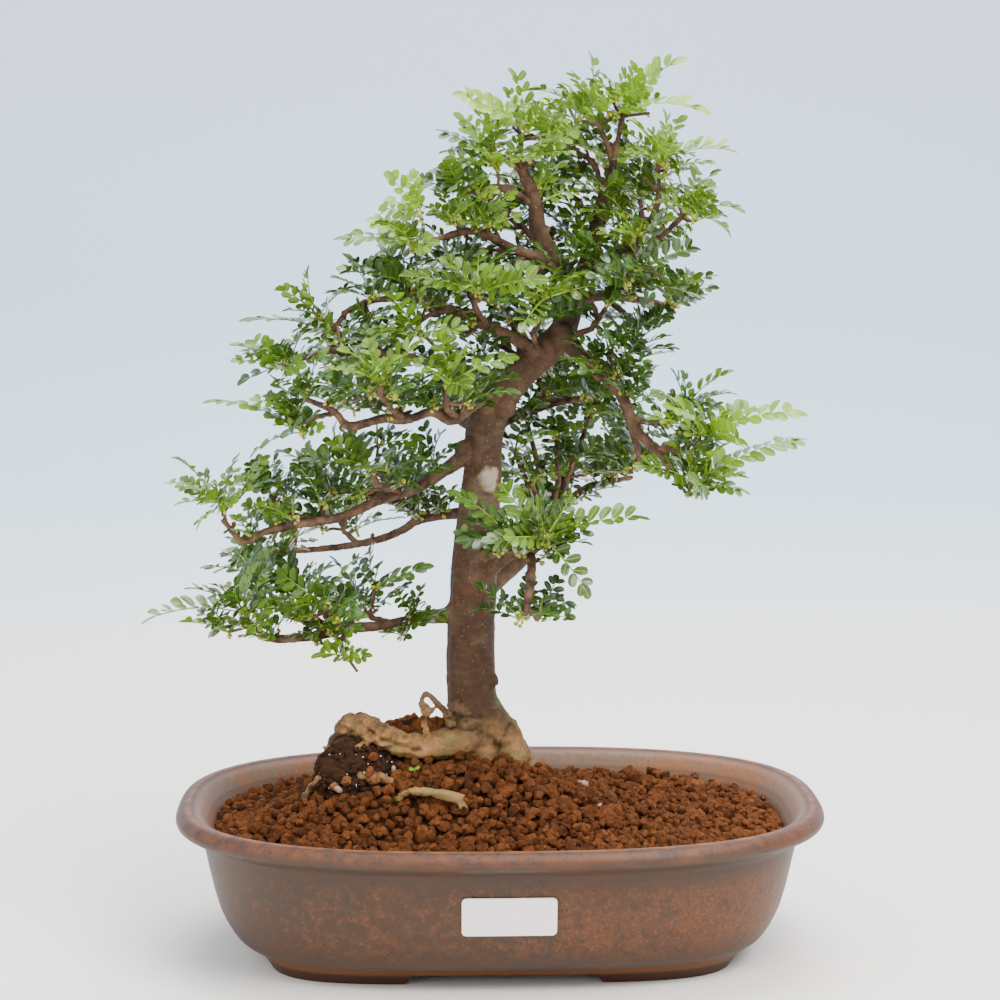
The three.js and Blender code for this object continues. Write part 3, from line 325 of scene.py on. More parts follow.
# Leaves that the solids don't have
BLADE_VALUES = ("tone", "across", "along")
LEAF_SMOOTH = 60
SHORT_FROND_TRIES = 12
SHORT_REACH_LEAST = 4.2
BARE_SHOOT_EVERY = 5
YOUNG_FROM = 330
SHADE_FROM = 280


# Sizes and colours that a user would change

class BonsaiSizes(bpy.types.PropertyGroup):
    grain: bpy.props.FloatProperty(
        name="Grain Size", description="Middle size of the akadama grains",
        default=5.2 * MM, min=2 * MM, max=9 * MM, subtype="DISTANCE", unit="LENGTH")
    leaflet_pitch: bpy.props.FloatProperty(
        name="Leaflet Spacing", description="Distance between two pairs of leaflets on a frond",
        default=5.4 * MM, min=3 * MM, max=12 * MM, subtype="DISTANCE", unit="LENGTH")
    leaflet_longest: bpy.props.FloatProperty(
        name="Longest Leaflet", description="Length of the largest leaflets",
        default=8.4 * MM, min=4 * MM, max=20 * MM, subtype="DISTANCE", unit="LENGTH")
    infill: bpy.props.IntProperty(
        name="Small Fronds", description="Short fronds that fill each spur between its long ones",
        default=7, min=0, max=14)
    bark_grain: bpy.props.FloatProperty(
        name="Bark Mesh", description="Distance between the points of the wood's mesh",
        default=0.95 * MM, min=0.5 * MM, max=4 * MM, subtype="DISTANCE", unit="LENGTH")


def linear(colour):
    """An sRGB hex value such as 0x7A5A45 as linear red, green, blue and alpha."""
    parts = [((colour >> shift) & 255) / 255 for shift in (16, 8, 0)]
    return [p / 12.92 if p <= 0.04045 else ((p + 0.055) / 1.055) ** 2.4 for p in parts] + [1.0]


def colour_property(name, description, colour):
    return bpy.props.FloatVectorProperty(
        name=name, description=description, default=linear(colour)[:3], min=0, max=1, size=3, subtype="COLOR")


class BonsaiColours(bpy.types.PropertyGroup):
    glaze: colour_property("Glaze", "Brown stoneware glaze on the pot's wall", 0x432C1C)
    glaze_lip: colour_property("Glaze on Edges", "Where the glaze runs thin over the clay's edges", 0x663D24)
    akadama: colour_property("Akadama", "Baked red-brown clay grains", 0x6F3F1F)
    peat: colour_property("Peat", "Old dark root-ball soil", 0x412A1C)
    bark: colour_property("Bark", "Smooth brown bark of the trunk", 0x48311E)
    leaf: colour_property("Leaf", "Hardened glossy leaflets", 0x36561A)
    young_leaf: colour_property("Young Leaf", "Soft growth at the shoots' tips", 0x86AA20)


# Mesh helpers

def place(points):
    """Millimetres from the pot's middle as metres in the row frame."""
    return np.asarray(points, float) * MM + ORIGIN


def metres_along(x):
    return float(place((x, 0, 0))[0])


def deselect():
    if bpy.context.object and bpy.context.object.mode != "OBJECT":
        bpy.ops.object.mode_set(mode="OBJECT")
    bpy.ops.object.select_all(action="DESELECT")


def select_only(*objects):
    deselect()
    for obj in objects:
        obj.select_set(True)
    bpy.context.view_layer.objects.active = objects[0]


def apply_modifier(obj, kind, **settings):
    select_only(obj)
    modifier = obj.modifiers.new(kind, kind)
    for name, value in settings.items():
        setattr(modifier, name, value)
    bpy.ops.object.modifier_apply(modifier=modifier.name)


def points_of(obj):
    flat = np.empty(len(obj.data.vertices) * 3, np.float32)
    obj.data.vertices.foreach_get("co", flat)
    return flat.reshape(-1, 3).astype(float)


def set_points(obj, points):
    obj.data.vertices.foreach_set("co", np.asarray(points, np.float32).ravel())
    obj.data.update()


def shade_smooth(obj, angle=None):
    select_only(obj)
    if angle is None:
        bpy.ops.object.shade_smooth()
    else:
        bpy.ops.object.shade_smooth_by_angle(angle=math.radians(angle))


def recalculate_normals(obj):
    select_only(obj)
    bpy.ops.object.mode_set(mode="EDIT")
    bpy.ops.mesh.select_all(action="SELECT")
    bpy.ops.mesh.normals_make_consistent(inside=False)
    bpy.ops.object.mode_set(mode="OBJECT")


def add_attribute(obj, name, values):
    attribute = obj.data.attributes.new(name, "FLOAT", "POINT")
    attribute.data.foreach_set("value", np.asarray(values, np.float32))


def finish_piece(obj, name, material, slot, *nodes):
    obj.name = name
    obj.data.name = name
    obj.data.materials.clear()
    obj.data.materials.append(material)
    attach(obj, "root")
    if nodes:
        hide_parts(*nodes)


def pattern_of(obj):
    """A modelled shape's points and faces, ready to be copied. Its object is removed."""
    mesh = obj.data
    corners = np.empty(len(mesh.loops), np.int32)
    mesh.loops.foreach_get("vertex_index", corners)
    sizes = np.empty(len(mesh.polygons), np.int32)
    mesh.polygons.foreach_get("loop_total", sizes)
    pattern = (points_of(obj), corners, sizes)
    bpy.data.objects.remove(obj)
    return pattern


def piece_of_copies(name, copies, attributes):
    """One mesh from (points, corners, sizes, values) copies, where values holds one list per attribute."""
    counts = [len(points) for points, *_ in copies]
    starts = np.concatenate([[0], np.cumsum(counts)[:-1]])
    points = np.concatenate([c[0] for c in copies])
    corners = np.concatenate([c[1] + start for c, start in zip(copies, starts)])
    sizes = np.concatenate([c[2] for c in copies])
    mesh = bpy.data.meshes.new(name)
    mesh.vertices.add(len(points))
    mesh.vertices.foreach_set("co", points.astype(np.float32).ravel())
    mesh.loops.add(len(corners))
    mesh.loops.foreach_set("vertex_index", corners.astype(np.int32))
    mesh.polygons.add(len(sizes))
    mesh.polygons.foreach_set("loop_start", (np.cumsum(sizes) - sizes).astype(np.int32))
    mesh.polygons.foreach_set("use_smooth", np.ones(len(sizes), bool))
    mesh.update(calc_edges=True)
    obj = bpy.data.objects.new(name, mesh)
    bpy.context.scene.collection.objects.link(obj)
    for i, attribute in enumerate(attributes):
        add_attribute(obj, attribute, np.concatenate([c[3][i] for c in copies]))
    return obj


def finish_copies(name, copies, material, slot, *nodes, attributes=(), angle=None):
    """Joins copies into one piece. An angle smooths the edges that bend by less."""
    piece = piece_of_copies(name, copies, attributes)
    if angle is not None:
        shade_smooth(piece, angle)
    finish_piece(piece, name, material, slot, *nodes)


def random_numbers(seed):
    """Numbers from 0 to 1, the same on each run and the same as the solids' own."""
    state = seed
    while True:
        state = (state * 48271) % 2147483647
        yield state / 2147483647


# Material helpers

def new_material(name, finish):
    """A material whose even finish is set, with its nodes and the place that its patterns follow."""
    material = bpy.data.materials.new(name)
    material.use_nodes = True
    tree = material.node_tree
    for socket, value in finish.items():
        tree.nodes["Principled BSDF"].inputs[socket].default_value = value
    return material, tree, add_node(tree, "TexCoord", {}, output="Object")


def add_node(tree, kind, inputs, settings=None, stops=None, output=0):
    """Adds a node and gives one of its outputs. An input is given by its name or number, as a value or as
    another node's output. Stops are a colour ramp's places with their colours or shares."""
    made = tree.nodes.new("ShaderNode" + kind)
    for name, value in (settings or {}).items():
        setattr(made, name, value)
    for key, value in inputs.items():
        if isinstance(value, bpy.types.NodeSocket):
            tree.links.new(value, made.inputs[key])
        else:
            made.inputs[key].default_value = value
    if stops:
        elements = made.color_ramp.elements
        while len(elements) < len(stops):
            elements.new(0.5)
        for element, (position, value) in zip(elements, stops):
            element.position = position
            element.color = value if isinstance(value, (list, tuple)) else [value] * 3 + [1]
    return made.outputs[output]


def patches(tree, where, size, detail=3, roughness=0.5, stops=None):
    """Soft patches about size millimetres across, as they come or as the stops' colours or shares."""
    cloud = add_node(tree, "TexNoise", {
        "Vector": where, "Scale": 1 / (size * MM), "Detail": detail, "Roughness": roughness})
    return ramp(tree, cloud, stops) if stops else cloud


def ramp(tree, share, stops):
    return add_node(tree, "ValToRGB", {0: share}, stops=stops)


def rising(tree, value, start, end):
    """0 up to the start and 1 from the end on, where the end may be the lower of the two."""
    return add_node(tree, "MapRange", {"Value": value, "From Min": start, "From Max": end})


def worked_out(tree, operation, *values):
    return add_node(tree, "Math", dict(enumerate(values)), {"operation": operation})


def stored(tree, name, output="Fac"):
    """The values that a mesh holds under a name."""
    return add_node(tree, "Attribute", {}, {"attribute_name": name}, output=output)


def axis_of(tree, where, axis):
    return add_node(tree, "SeparateXYZ", {0: where}, output=axis)


def overlap(tree, *shares):
    """Where all the shares are high."""
    whole = shares[0]
    for share in shares[1:]:
        whole = worked_out(tree, "MULTIPLY", whole, share)
    return whole


def painted(tree, under, over, *shares, blend="MIX"):
    """One colour over another, where all the shares are high."""
    return add_node(tree, "Mix", {0: overlap(tree, *shares), 6: under, 7: over},
                    {"data_type": "RGBA", "blend_type": blend}, output=2)


def raised(tree, height, depth, strength, under=None):
    """Relief depth millimetres high, over the relief that is under it."""
    inputs = {"Height": height, "Distance": depth * MM, "Strength": strength}
    if under is not None:
        inputs["Normal"] = under
    return add_node(tree, "Bump", inputs)


def dressed(material, tone, skin=None):
    """Gives a material its colour and relief."""
    tree = material.node_tree
    shader = tree.nodes["Principled BSDF"]
    tree.links.new(tone, shader.inputs["Base Color"])
    if skin is not None:
        tree.links.new(skin, shader.inputs["Normal"])
    return material


def scaled(colour, factor):
    return [min(1.0, c * factor) for c in list(colour)[:3]] + [1.0]


def rgba(colour):
    return list(colour)[:3] + [1.0]


# Stage: camera, floor, backdrop and lights

def backdrop_paper():
    """Seamless paper sweep: matt, its colour running from near white on the floor to a darker faint blue
    higher up, a painted fall-off of the light up the sweep.
    """
    material, tree, where = new_material(
        "Paper backdrop, matt", {"Roughness": 0.95, "Specular IOR Level": 0.1})
    height = axis_of(tree, where, "Z")
    share = rising(tree, height, 0, BACKDROP_TOP)
    tone = ramp(tree, share, [
        (0.0, linear(0xFFF8F0)), (0.02, linear(0xEAF4FA)), (0.07, linear(0xD2E8F4)), (0.22, linear(0xC4DAEA)),
        (0.42, linear(0xC6D2E6))])
    return dressed(material, tone)


class BONSAI_OT_stage(bpy.types.Operator):
    """Sets up the camera, the pale floor with its backdrop, and soft studio light"""
    bl_idname = "bonsai.stage"
    bl_label = "Studio"

    def execute(self, context):
        camera = bpy.data.objects.new("Camera", bpy.data.cameras.new("Camera"))
        context.scene.collection.objects.link(camera)
        camera.data.lens = CAMERA_LENS
        camera.data.sensor_width = CAMERA_SENSOR
        camera.data.clip_start, camera.data.clip_end = CAMERA_CLIP
        camera.location = place(CAMERA_PLACE)
        level = math.cos(CAMERA_PITCH)
        ahead = Vector((-math.sin(CAMERA_YAW) * level, math.cos(CAMERA_YAW) * level, -math.sin(CAMERA_PITCH)))
        camera.rotation_euler = ahead.to_track_quat("-Z", "Y").to_euler()
        context.scene.camera = camera

        deselect()
        bpy.ops.mesh.primitive_plane_add(size=6, location=(0, -1.4, 0))
        sweep = context.object
        bpy.ops.object.transform_apply(location=True)
        bpy.ops.object.mode_set(mode="EDIT")
        bpy.ops.mesh.select_all(action="DESELECT")
        bpy.ops.object.mode_set(mode="OBJECT")
        for edge in sweep.data.edges:
            edge.select = all(sweep.data.vertices[v].co.y > 1 for v in edge.vertices)
        bpy.ops.object.mode_set(mode="EDIT")
        bpy.ops.mesh.select_mode(type="EDGE")
        bpy.ops.mesh.extrude_region_move(TRANSFORM_OT_translate={"value": (0, 0, 4)})
        bpy.ops.object.mode_set(mode="OBJECT")
        apply_modifier(sweep, "BEVEL", width=0.9, segments=24, limit_method="ANGLE")
        shade_smooth(sweep)
        sweep.name = "backdrop"
        sweep.data.materials.append(backdrop_paper())

        for name, lamp in LIGHTS.items():
            light = bpy.data.objects.new(name, bpy.data.lights.new(name, "AREA"))
            context.scene.collection.objects.link(light)
            light.data.energy = lamp["energy"]
            light.data.size = lamp["size"]
            light.location = lamp["spot"]
            ahead = Vector(LIGHT_AIM) - Vector(lamp["spot"])
            light.rotation_euler = ahead.to_track_quat("-Z", "Y").to_euler()
        world = bpy.data.worlds.new("Room")
        world.use_nodes = True
        world.node_tree.nodes["Background"].inputs["Color"].default_value = linear(0xEAF2FA)
        world.node_tree.nodes["Background"].inputs["Strength"].default_value = ROOM_LIGHT
        context.scene.world = world
        return {"FINISHED"}


# Pot

def rounded(profile, passes=2, share=0.22):
    """Softens the corners of a profile by cutting them, twice over."""
    line = [np.array(p, float) for p in profile]
    for _ in range(passes):
        cut = [line[0]]
        for a, b in zip(line, line[1:]):
            cut += [a + (b - a) * share, b + (a - b) * share]
        line = cut + [line[-1]]
    return line


def curve_at(inset):
    """The oval is squarer at the foot than at the lip."""
    return POT_CURVE + SQUARE_GROWTH * np.maximum(0, inset - SQUARE_FROM) ** 2


def oval_ring(inset, height):
    """Evenly spaced points round the oval, at a distance inside the lip's outline."""
    turn = np.linspace(0, 2 * math.pi, 2881)
    power = 2 / curve_at(inset)
    x = np.sign(np.cos(turn)) * np.abs(np.cos(turn)) ** power * (POT_LENGTH / 2 - inset)
    y = np.sign(np.sin(turn)) * np.abs(np.sin(turn)) ** power * (POT_WIDTH / 2 - inset)
    run = np.concatenate([[0], np.cumsum(np.hypot(np.diff(x), np.diff(y)))])
    stops = np.linspace(0, run[-1], POT_FACETS, endpoint=False)
    return np.stack([np.interp(stops, run, x), np.interp(stops, run, y), np.full(POT_FACETS, height)], 1)


def extruded_rings(name, profile, is_hoop):
    """A circle extruded once for each row of a profile, with each ring then set to the pot's oval."""
    deselect()
    bpy.ops.mesh.primitive_circle_add(vertices=POT_FACETS, radius=1)
    obj = bpy.context.object
    bpy.ops.object.mode_set(mode="EDIT")
    bpy.ops.mesh.select_all(action="SELECT")
    for _ in profile[1:]:
        bpy.ops.mesh.extrude_region_move(TRANSFORM_OT_translate={"value": (0, 0, 1)})
    bpy.ops.mesh.select_all(action="DESELECT")
    bpy.ops.mesh.select_mode(type="EDGE")
    bpy.ops.mesh.select_non_manifold()
    if is_hoop:
        bpy.ops.mesh.bridge_edge_loops()
    else:
        bpy.ops.mesh.fill_holes(sides=0)
    bpy.ops.object.mode_set(mode="OBJECT")
    rows = [oval_ring(*row) for row in profile]
    old = points_of(obj)
    ring = np.rint(old[:, 2]).astype(int)
    facet = np.rint(np.arctan2(old[:, 1], old[:, 0]) / (2 * math.pi) * POT_FACETS).astype(int) % POT_FACETS
    set_points(obj, place([rows[r][f] for r, f in zip(ring, facet)]))
    recalculate_normals(obj)
    obj.name = name
    return obj


def combine(obj, other, operation):
    apply_modifier(obj, "BOOLEAN", object=other, operation=operation, solver="EXACT")
    bpy.data.objects.remove(other)


def foot_cutter(width, across):
    """A block that is narrower at its top, for the gap between two feet."""
    deselect()
    bpy.ops.mesh.primitive_cube_add(size=1)
    cutter = bpy.context.object
    points = points_of(cutter)
    is_top = points[:, 2] > 0
    slant = np.where(is_top, width - FOOT_GAP_SLANT, width)
    points = np.stack([points[:, 0] * slant, points[:, 1] * 400, np.where(is_top, FOOT_GAP_TOP, -1)], 1)
    if across:
        points = points[:, [1, 0, 2]] * [1, -1, 1]
    set_points(cutter, place(points))
    recalculate_normals(cutter)
    return cutter


def add_outline(pot):
    """Stores on each point whether it is on the pot's inner side, and the nearest place on its outline."""
    points = (points_of(pot) - ORIGIN) / MM
    low, high = np.full(len(points), -2.0), np.full(len(points), 107.0)
    for _ in range(24):
        middle = (low + high) / 2
        reach = (np.abs(points[:, 0]) / (POT_LENGTH / 2 - middle)) ** curve_at(middle)
        reach += (np.abs(points[:, 1]) / (POT_WIDTH / 2 - middle)) ** curve_at(middle)
        is_outside = reach > 1
        low, high = np.where(is_outside, low, middle), np.where(is_outside, middle, high)
    outside = np.interp(points[:, 2], *np.array(POT_PROFILE[:WALL_ROWS])[:, ::-1].T)
    wall = np.where(points[:, 2] > LIP_FROM, LIP_INSIDE, outside + WALL_INSIDE)
    add_attribute(pot, "inner", np.clip((low - wall) / 2, 0, 1))
    spread = np.stack([POT_LENGTH / (POT_LENGTH - 2 * low), POT_WIDTH / (POT_WIDTH - 2 * low)], 1)
    outline = np.column_stack([points[:, :2] * spread, points[:, 2] * 0.12])
    attribute = pot.data.attributes.new("outline", "FLOAT_VECTOR", "POINT")
    attribute.data.foreach_set("vector", (outline * MM).astype(np.float32).ravel())


def glazed_stoneware(colours):
    """Stoneware under a brown reduction glaze: satin, rust-coloured where it breaks thin over the edges and
    in clouds on the wall, grey-brown where it is thick, with runs over the lip, iron specks and pinholes.
    Painted light lies on the inner lip and along the lip's top edge, painted shade down the inner wall and on
    the foot's bare clay."""
    material, tree, where = new_material(
        "Stoneware, brown glaze, fired", {"Roughness": 0.5, "IOR": 1.5, "Specular IOR Level": 0.32})
    height = axis_of(tree, where, "Z")
    inner = stored(tree, "inner")
    outline = stored(tree, "outline", "Vector")
    wobble = worked_out(tree, "MULTIPLY_ADD", patches(tree, where, 12), 6 * MM, height)
    thin = patches(tree, where, 30, 4, 0.5, [(0.35, 0), (0.65, 1)])
    tone = painted(tree, rgba(colours.glaze), linear(0x3A2C22), thin)

    # Rust-coloured lace on the wall, more of it to the right
    across = axis_of(tree, outline, "X")
    more = add_node(tree, "MapRange", {
        "Value": across, "From Min": -0.15, "From Max": 0.15, "To Min": -0.06, "To Max": 0.045})
    lace = worked_out(tree, "ADD", patches(tree, where, 6, 12, 0.86), more)
    rust = ramp(tree, lace, [(0.46, 0), (0.53, 1)])
    clouds = patches(tree, where, 45, 3, 0.5, [(0.35, 0.5), (0.6, 1)])
    above_foot = rising(tree, wobble, 16 * MM, 28 * MM)
    below_lip = rising(tree, wobble, 61 * MM, 52 * MM)
    band = overlap(tree, rust, clouds, above_foot, below_lip)
    tone = painted(tree, tone, linear(0x5A351D), band, 0.8)
    flecks = patches(tree, where, 1.4, 4, 0.7, [(0.5, 0), (0.6, 0.75)])
    tone = painted(tree, tone, linear(0x784824), flecks, band)
    bloom = patches(tree, where, 3.2, 5, 0.65, [(0.54, 0), (0.72, 0.45)])
    tone = painted(tree, tone, linear(0x463A32), bloom)
    pits = add_node(tree, "TexVoronoi", {"Vector": where, "Scale": 1 / (7 * MM)}, output="Distance")
    pinholes = ramp(tree, pits, [(0.05, 1), (0.09, 0)])
    tone = painted(tree, tone, linear(0x20130B), pinholes)

    # The lip, with darker runs where the glaze is thick
    lip = rising(tree, wobble, 70 * MM, 74 * MM)
    tone = painted(tree, tone, rgba(colours.glaze_lip), lip)
    soft = add_node(tree, "Mapping", {"Vector": where, "Scale": (0.6, 1, 1)})
    thick = patches(tree, soft, 5, 8, 0.8, [(0.45, 0.9), (0.56, 0)])
    runs = patches(tree, outline, 2.5, 3, 0.6, [(0.4, 1), (0.6, 0.5)])
    tone = painted(tree, tone, linear(0x342C2A), lip, thick, runs)

    # The pot's inner side: tan stains, lighter as painted light where the inner lip faces up, and painted
    # shade down the inner wall towards the soil
    stains_and_painted_light = patches(tree, where, 26, 3, 0.5, [(0.42, linear(0x83644C)), (0.6, linear(0x95603A))])
    tone = painted(tree, tone, stains_and_painted_light, inner)
    fine = patches(tree, where, 2.5, 8, 0.85, [(0.44, 0.6), (0.56, 0)])
    tone = painted(tree, tone, linear(0x62524A), inner, fine)
    # Painted shade on the inner wall, below the lip and down towards the soil
    low = rising(tree, wobble, 70 * MM, 64 * MM)
    tone = painted(tree, tone, linear(0x5E5048), inner, low, 0.5)

    # The lip's top edge, rust where the glaze breaks thin with a painted highlight along it, and the bare
    # clay of the foot with painted shade
    breaks = patches(tree, outline, 9, 3, 0.5, [(0.4, 0.3), (0.6, 1)])
    # Painted highlight along the lip's top edge, over the rust where the glaze breaks
    edge = rising(tree, height, 73.4 * MM, 74 * MM)
    tone = painted(tree, tone, linear(0x9A6238), edge, breaks)
    # Bare clay, darker on the feet below the gaps' top: the clay's own colour, darkened further as painted
    # shade under the pot
    above_gap = rising(tree, height, 4.8 * MM, 5.8 * MM)
    clay_and_shade = painted(tree, linear(0x3E220F), linear(0x5E3A20), above_gap)
    foot = rising(tree, wobble, 14 * MM, 12 * MM)
    tone = painted(tree, tone, clay_and_shade, foot)
    skin = raised(tree, patches(tree, where, 5, 3, 0.5), 0.12, 0.5)
    skin = raised(tree, patches(tree, where, 0.9, 3, 0.5), 0.1, 0.5, skin)
    skin = raised(tree, pinholes, -0.15, 0.6, skin)
    return dressed(material, tone, skin)


class BONSAI_OT_pot(bpy.types.Operator):
    """Throws the oval pot: wall and lip, foot ring with its gaps, and drainage holes"""
    bl_idname = "bonsai.pot"
    bl_label = "Glazed Pot"

    def execute(self, context):
        pot = extruded_rings("oval_pot", rounded(POT_PROFILE), False)
        feet = extruded_rings("feet", FOOT_RING, True)
        combine(feet, foot_cutter(FOOT_GAP_LONG, False), "DIFFERENCE")
        combine(feet, foot_cutter(FOOT_GAP_SHORT, True), "DIFFERENCE")
        apply_modifier(feet, "BEVEL", width=1.2 * MM, segments=3, limit_method="ANGLE",
                       angle_limit=math.radians(35))
        combine(pot, feet, "UNION")
        for side in (-1, 1):
            deselect()
            bpy.ops.mesh.primitive_cylinder_add(
                vertices=40, radius=DRAIN_RADIUS * MM, depth=40 * MM,
                location=place((side * DRAIN_OFFSET, 0, 12)))
            drain = context.object
            bpy.ops.object.transform_apply()
            combine(pot, drain, "DIFFERENCE")
        apply_modifier(pot, "TRIANGULATE")
        add_outline(pot)
        shade_smooth(pot, 40)
        finish_piece(pot, "oval_pot", glazed_stoneware(context.scene.bonsai_colours), "glaze", "pot")
        return {"FINISHED"}


def wall_inset(height):
    rows = POT_PROFILE[:WALL_ROWS]
    return float(np.interp(height, [h for _, h in rows], [inset for inset, _ in rows]))


def coated_paper():
    """Self-adhesive paper label: white, calendered, a soft even sheen."""
    material, tree, where = new_material("Sticker paper, coated", {"Roughness": 0.5})
    return dressed(material, painted(tree, linear(0xF6F0EE), linear(0xFDF9F7), patches(tree, where, 6)))


class BONSAI_OT_label(bpy.types.Operator):
    """Lays the bare rounded sticker on the pot's front"""
    bl_idname = "bonsai.label"
    bl_label = "Sticker"

    def execute(self, context):
        deselect()
        bpy.ops.mesh.primitive_plane_add(size=1)
        sticker = context.object
        bpy.ops.object.mode_set(mode="EDIT")
        bpy.ops.mesh.select_all(action="SELECT")
        bpy.ops.transform.resize(value=(STICKER["width"], STICKER["height"], 1))
        bpy.ops.mesh.bevel(offset=STICKER["corner"], segments=6, affect="VERTICES")
        for step in range(1, 12):
            bpy.ops.mesh.select_all(action="SELECT")
            x = (step / 12 - 0.5) * STICKER["width"] * 0.86
            bpy.ops.mesh.bisect(plane_co=(x, 0, 0), plane_no=(1, 0, 0))
        for step in (1, 2, 3):
            bpy.ops.mesh.select_all(action="SELECT")
            bpy.ops.mesh.bisect(plane_co=(0, (step / 4 - 0.5) * 12, 0), plane_no=(0, 1, 0))
        bpy.ops.object.mode_set(mode="OBJECT")
        points = []
        for x, up, _ in points_of(sticker):
            x, z = x + STICKER["centre"][0], up + STICKER["centre"][1]
            inset = wall_inset(z)
            share = abs(x) / (POT_LENGTH / 2 - inset)
            curve = curve_at(inset)
            y = (POT_WIDTH / 2 - inset) * (1 - share ** curve) ** (1 / curve)
            points.append([x, -(y + STICKER["seat"]), z])
        set_points(sticker, place(points))
        recalculate_normals(sticker)
        if sticker.data.polygons[0].normal.y > 0:
            sticker.data.flip_normals()
        apply_modifier(sticker, "SOLIDIFY", thickness=STICKER["thick"] * MM, offset=1)
        shade_smooth(sticker, 50)
        finish_piece(sticker, "sticker", coated_paper(), "sticker", "label")
        return {"FINISHED"}


def moulded_net():
    """Drainage net: moulded black-green polyethylene, matt with a waxy edge."""
    material, tree, where = new_material("Polyethylene net, moulded", {"Roughness": 0.6})
    return dressed(material, painted(tree, linear(0x1C211E), linear(0x2A302B), patches(tree, where, 3)))


class BONSAI_OT_nets(bpy.types.Operator):
    """Gives the two nets over the drainage holes their plastic"""
    bl_idname = "bonsai.nets"
    bl_label = "Drainage Nets"

    def execute(self, context):
        plastic = moulded_net()
        for name in ("drainage_mesh_left", "drainage_mesh_right"):
            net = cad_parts[name]
            net.data.materials.clear()
            net.data.materials.append(plastic)
        return {"FINISHED"}


# Soil

def soil_height(x, y):
    far = ((x - MOUND["x"]) / MOUND["long"]) ** 2 + ((y - MOUND["y"]) / MOUND["wide"]) ** 2
    return SOIL_EDGE + SOIL_TILT * np.maximum(0, y) + SOIL_RISE * np.exp(-(far ** MOUND["shape"]))


def crumb_pattern(seed, subdivisions, roughness):
    """A round lump modelled once and knocked out of shape, for grains and crumbs."""
    deselect()
    bpy.ops.mesh.primitive_ico_sphere_add(subdivisions=subdivisions, radius=1)
    obj = bpy.context.object
    points = points_of(obj)
    for i, point in enumerate(points):
        swell = noise.noise(Vector(point * 1.1) + Vector((seed * 7.3, 0, 0)))
        chip = noise.noise(Vector(point * 2.4) + Vector((0, seed * 5.1, 0)))
        points[i] = point * (1 + roughness * (swell * 1.3 + chip * 1.1))
    set_points(obj, points)
    return pattern_of(obj)


def turned_copy(pattern, centre, radii, random, values):
    """A copy of a pattern, turned at random, stretched and set down at its place in millimetres."""
    points, corners, sizes = pattern
    a, b, c = (next(random) * 2 * math.pi for _ in range(3))
    turn = np.array(Matrix.Rotation(a, 3, "Z") @ Matrix.Rotation(b, 3, "X") @ Matrix.Rotation(c, 3, "Z"))
    made = (points * radii) @ turn.T + centre
    return place(made), corners, sizes, [np.full(len(points), v) for v in values]


def baked_clay_grains(colours):
    """Akadama: granular volcanic clay, baked and dry, matt and porous with crumbly edges."""
    material, tree, where = new_material(
        "Akadama clay, baked grains", {"Roughness": 1.0, "Specular IOR Level": 0.2})
    tone = stored(tree, "tone")
    base = rgba(colours.akadama)
    colour = ramp(tree, tone, [
        (0, scaled(base, 0.5)), (0.45, base), (0.85, scaled(base, 1.4)), (1, linear(0x96653E))])
    dust = patches(tree, where, 1.6, 4, 0.65, [(0.35, 0.55), (0.7, 1.25)])
    colour = painted(tree, colour, dust, 1.0, blend="MULTIPLY")
    return dressed(material, colour, raised(tree, patches(tree, where, 2.2, 5, 0.75), 1.3, 1.0))


def wood_feelers():
    """Places and radii along the wood near the soil, for keeping grains out of it."""
    return [p for name, limb in LIMBS.items() if name == "trunk" or name.startswith("root")
            for p in (limb_point(limb, step / 6) for step in range(0, (len(limb) - 1) * 6 + 1))
            if p[2] < SOIL_REACH]


def is_in_pot(x, y, inset):
    curve = curve_at(inset)
    return (abs(x) / (POT_LENGTH / 2 - inset)) ** curve + (abs(y) / (POT_WIDTH / 2 - inset)) ** curve < 1


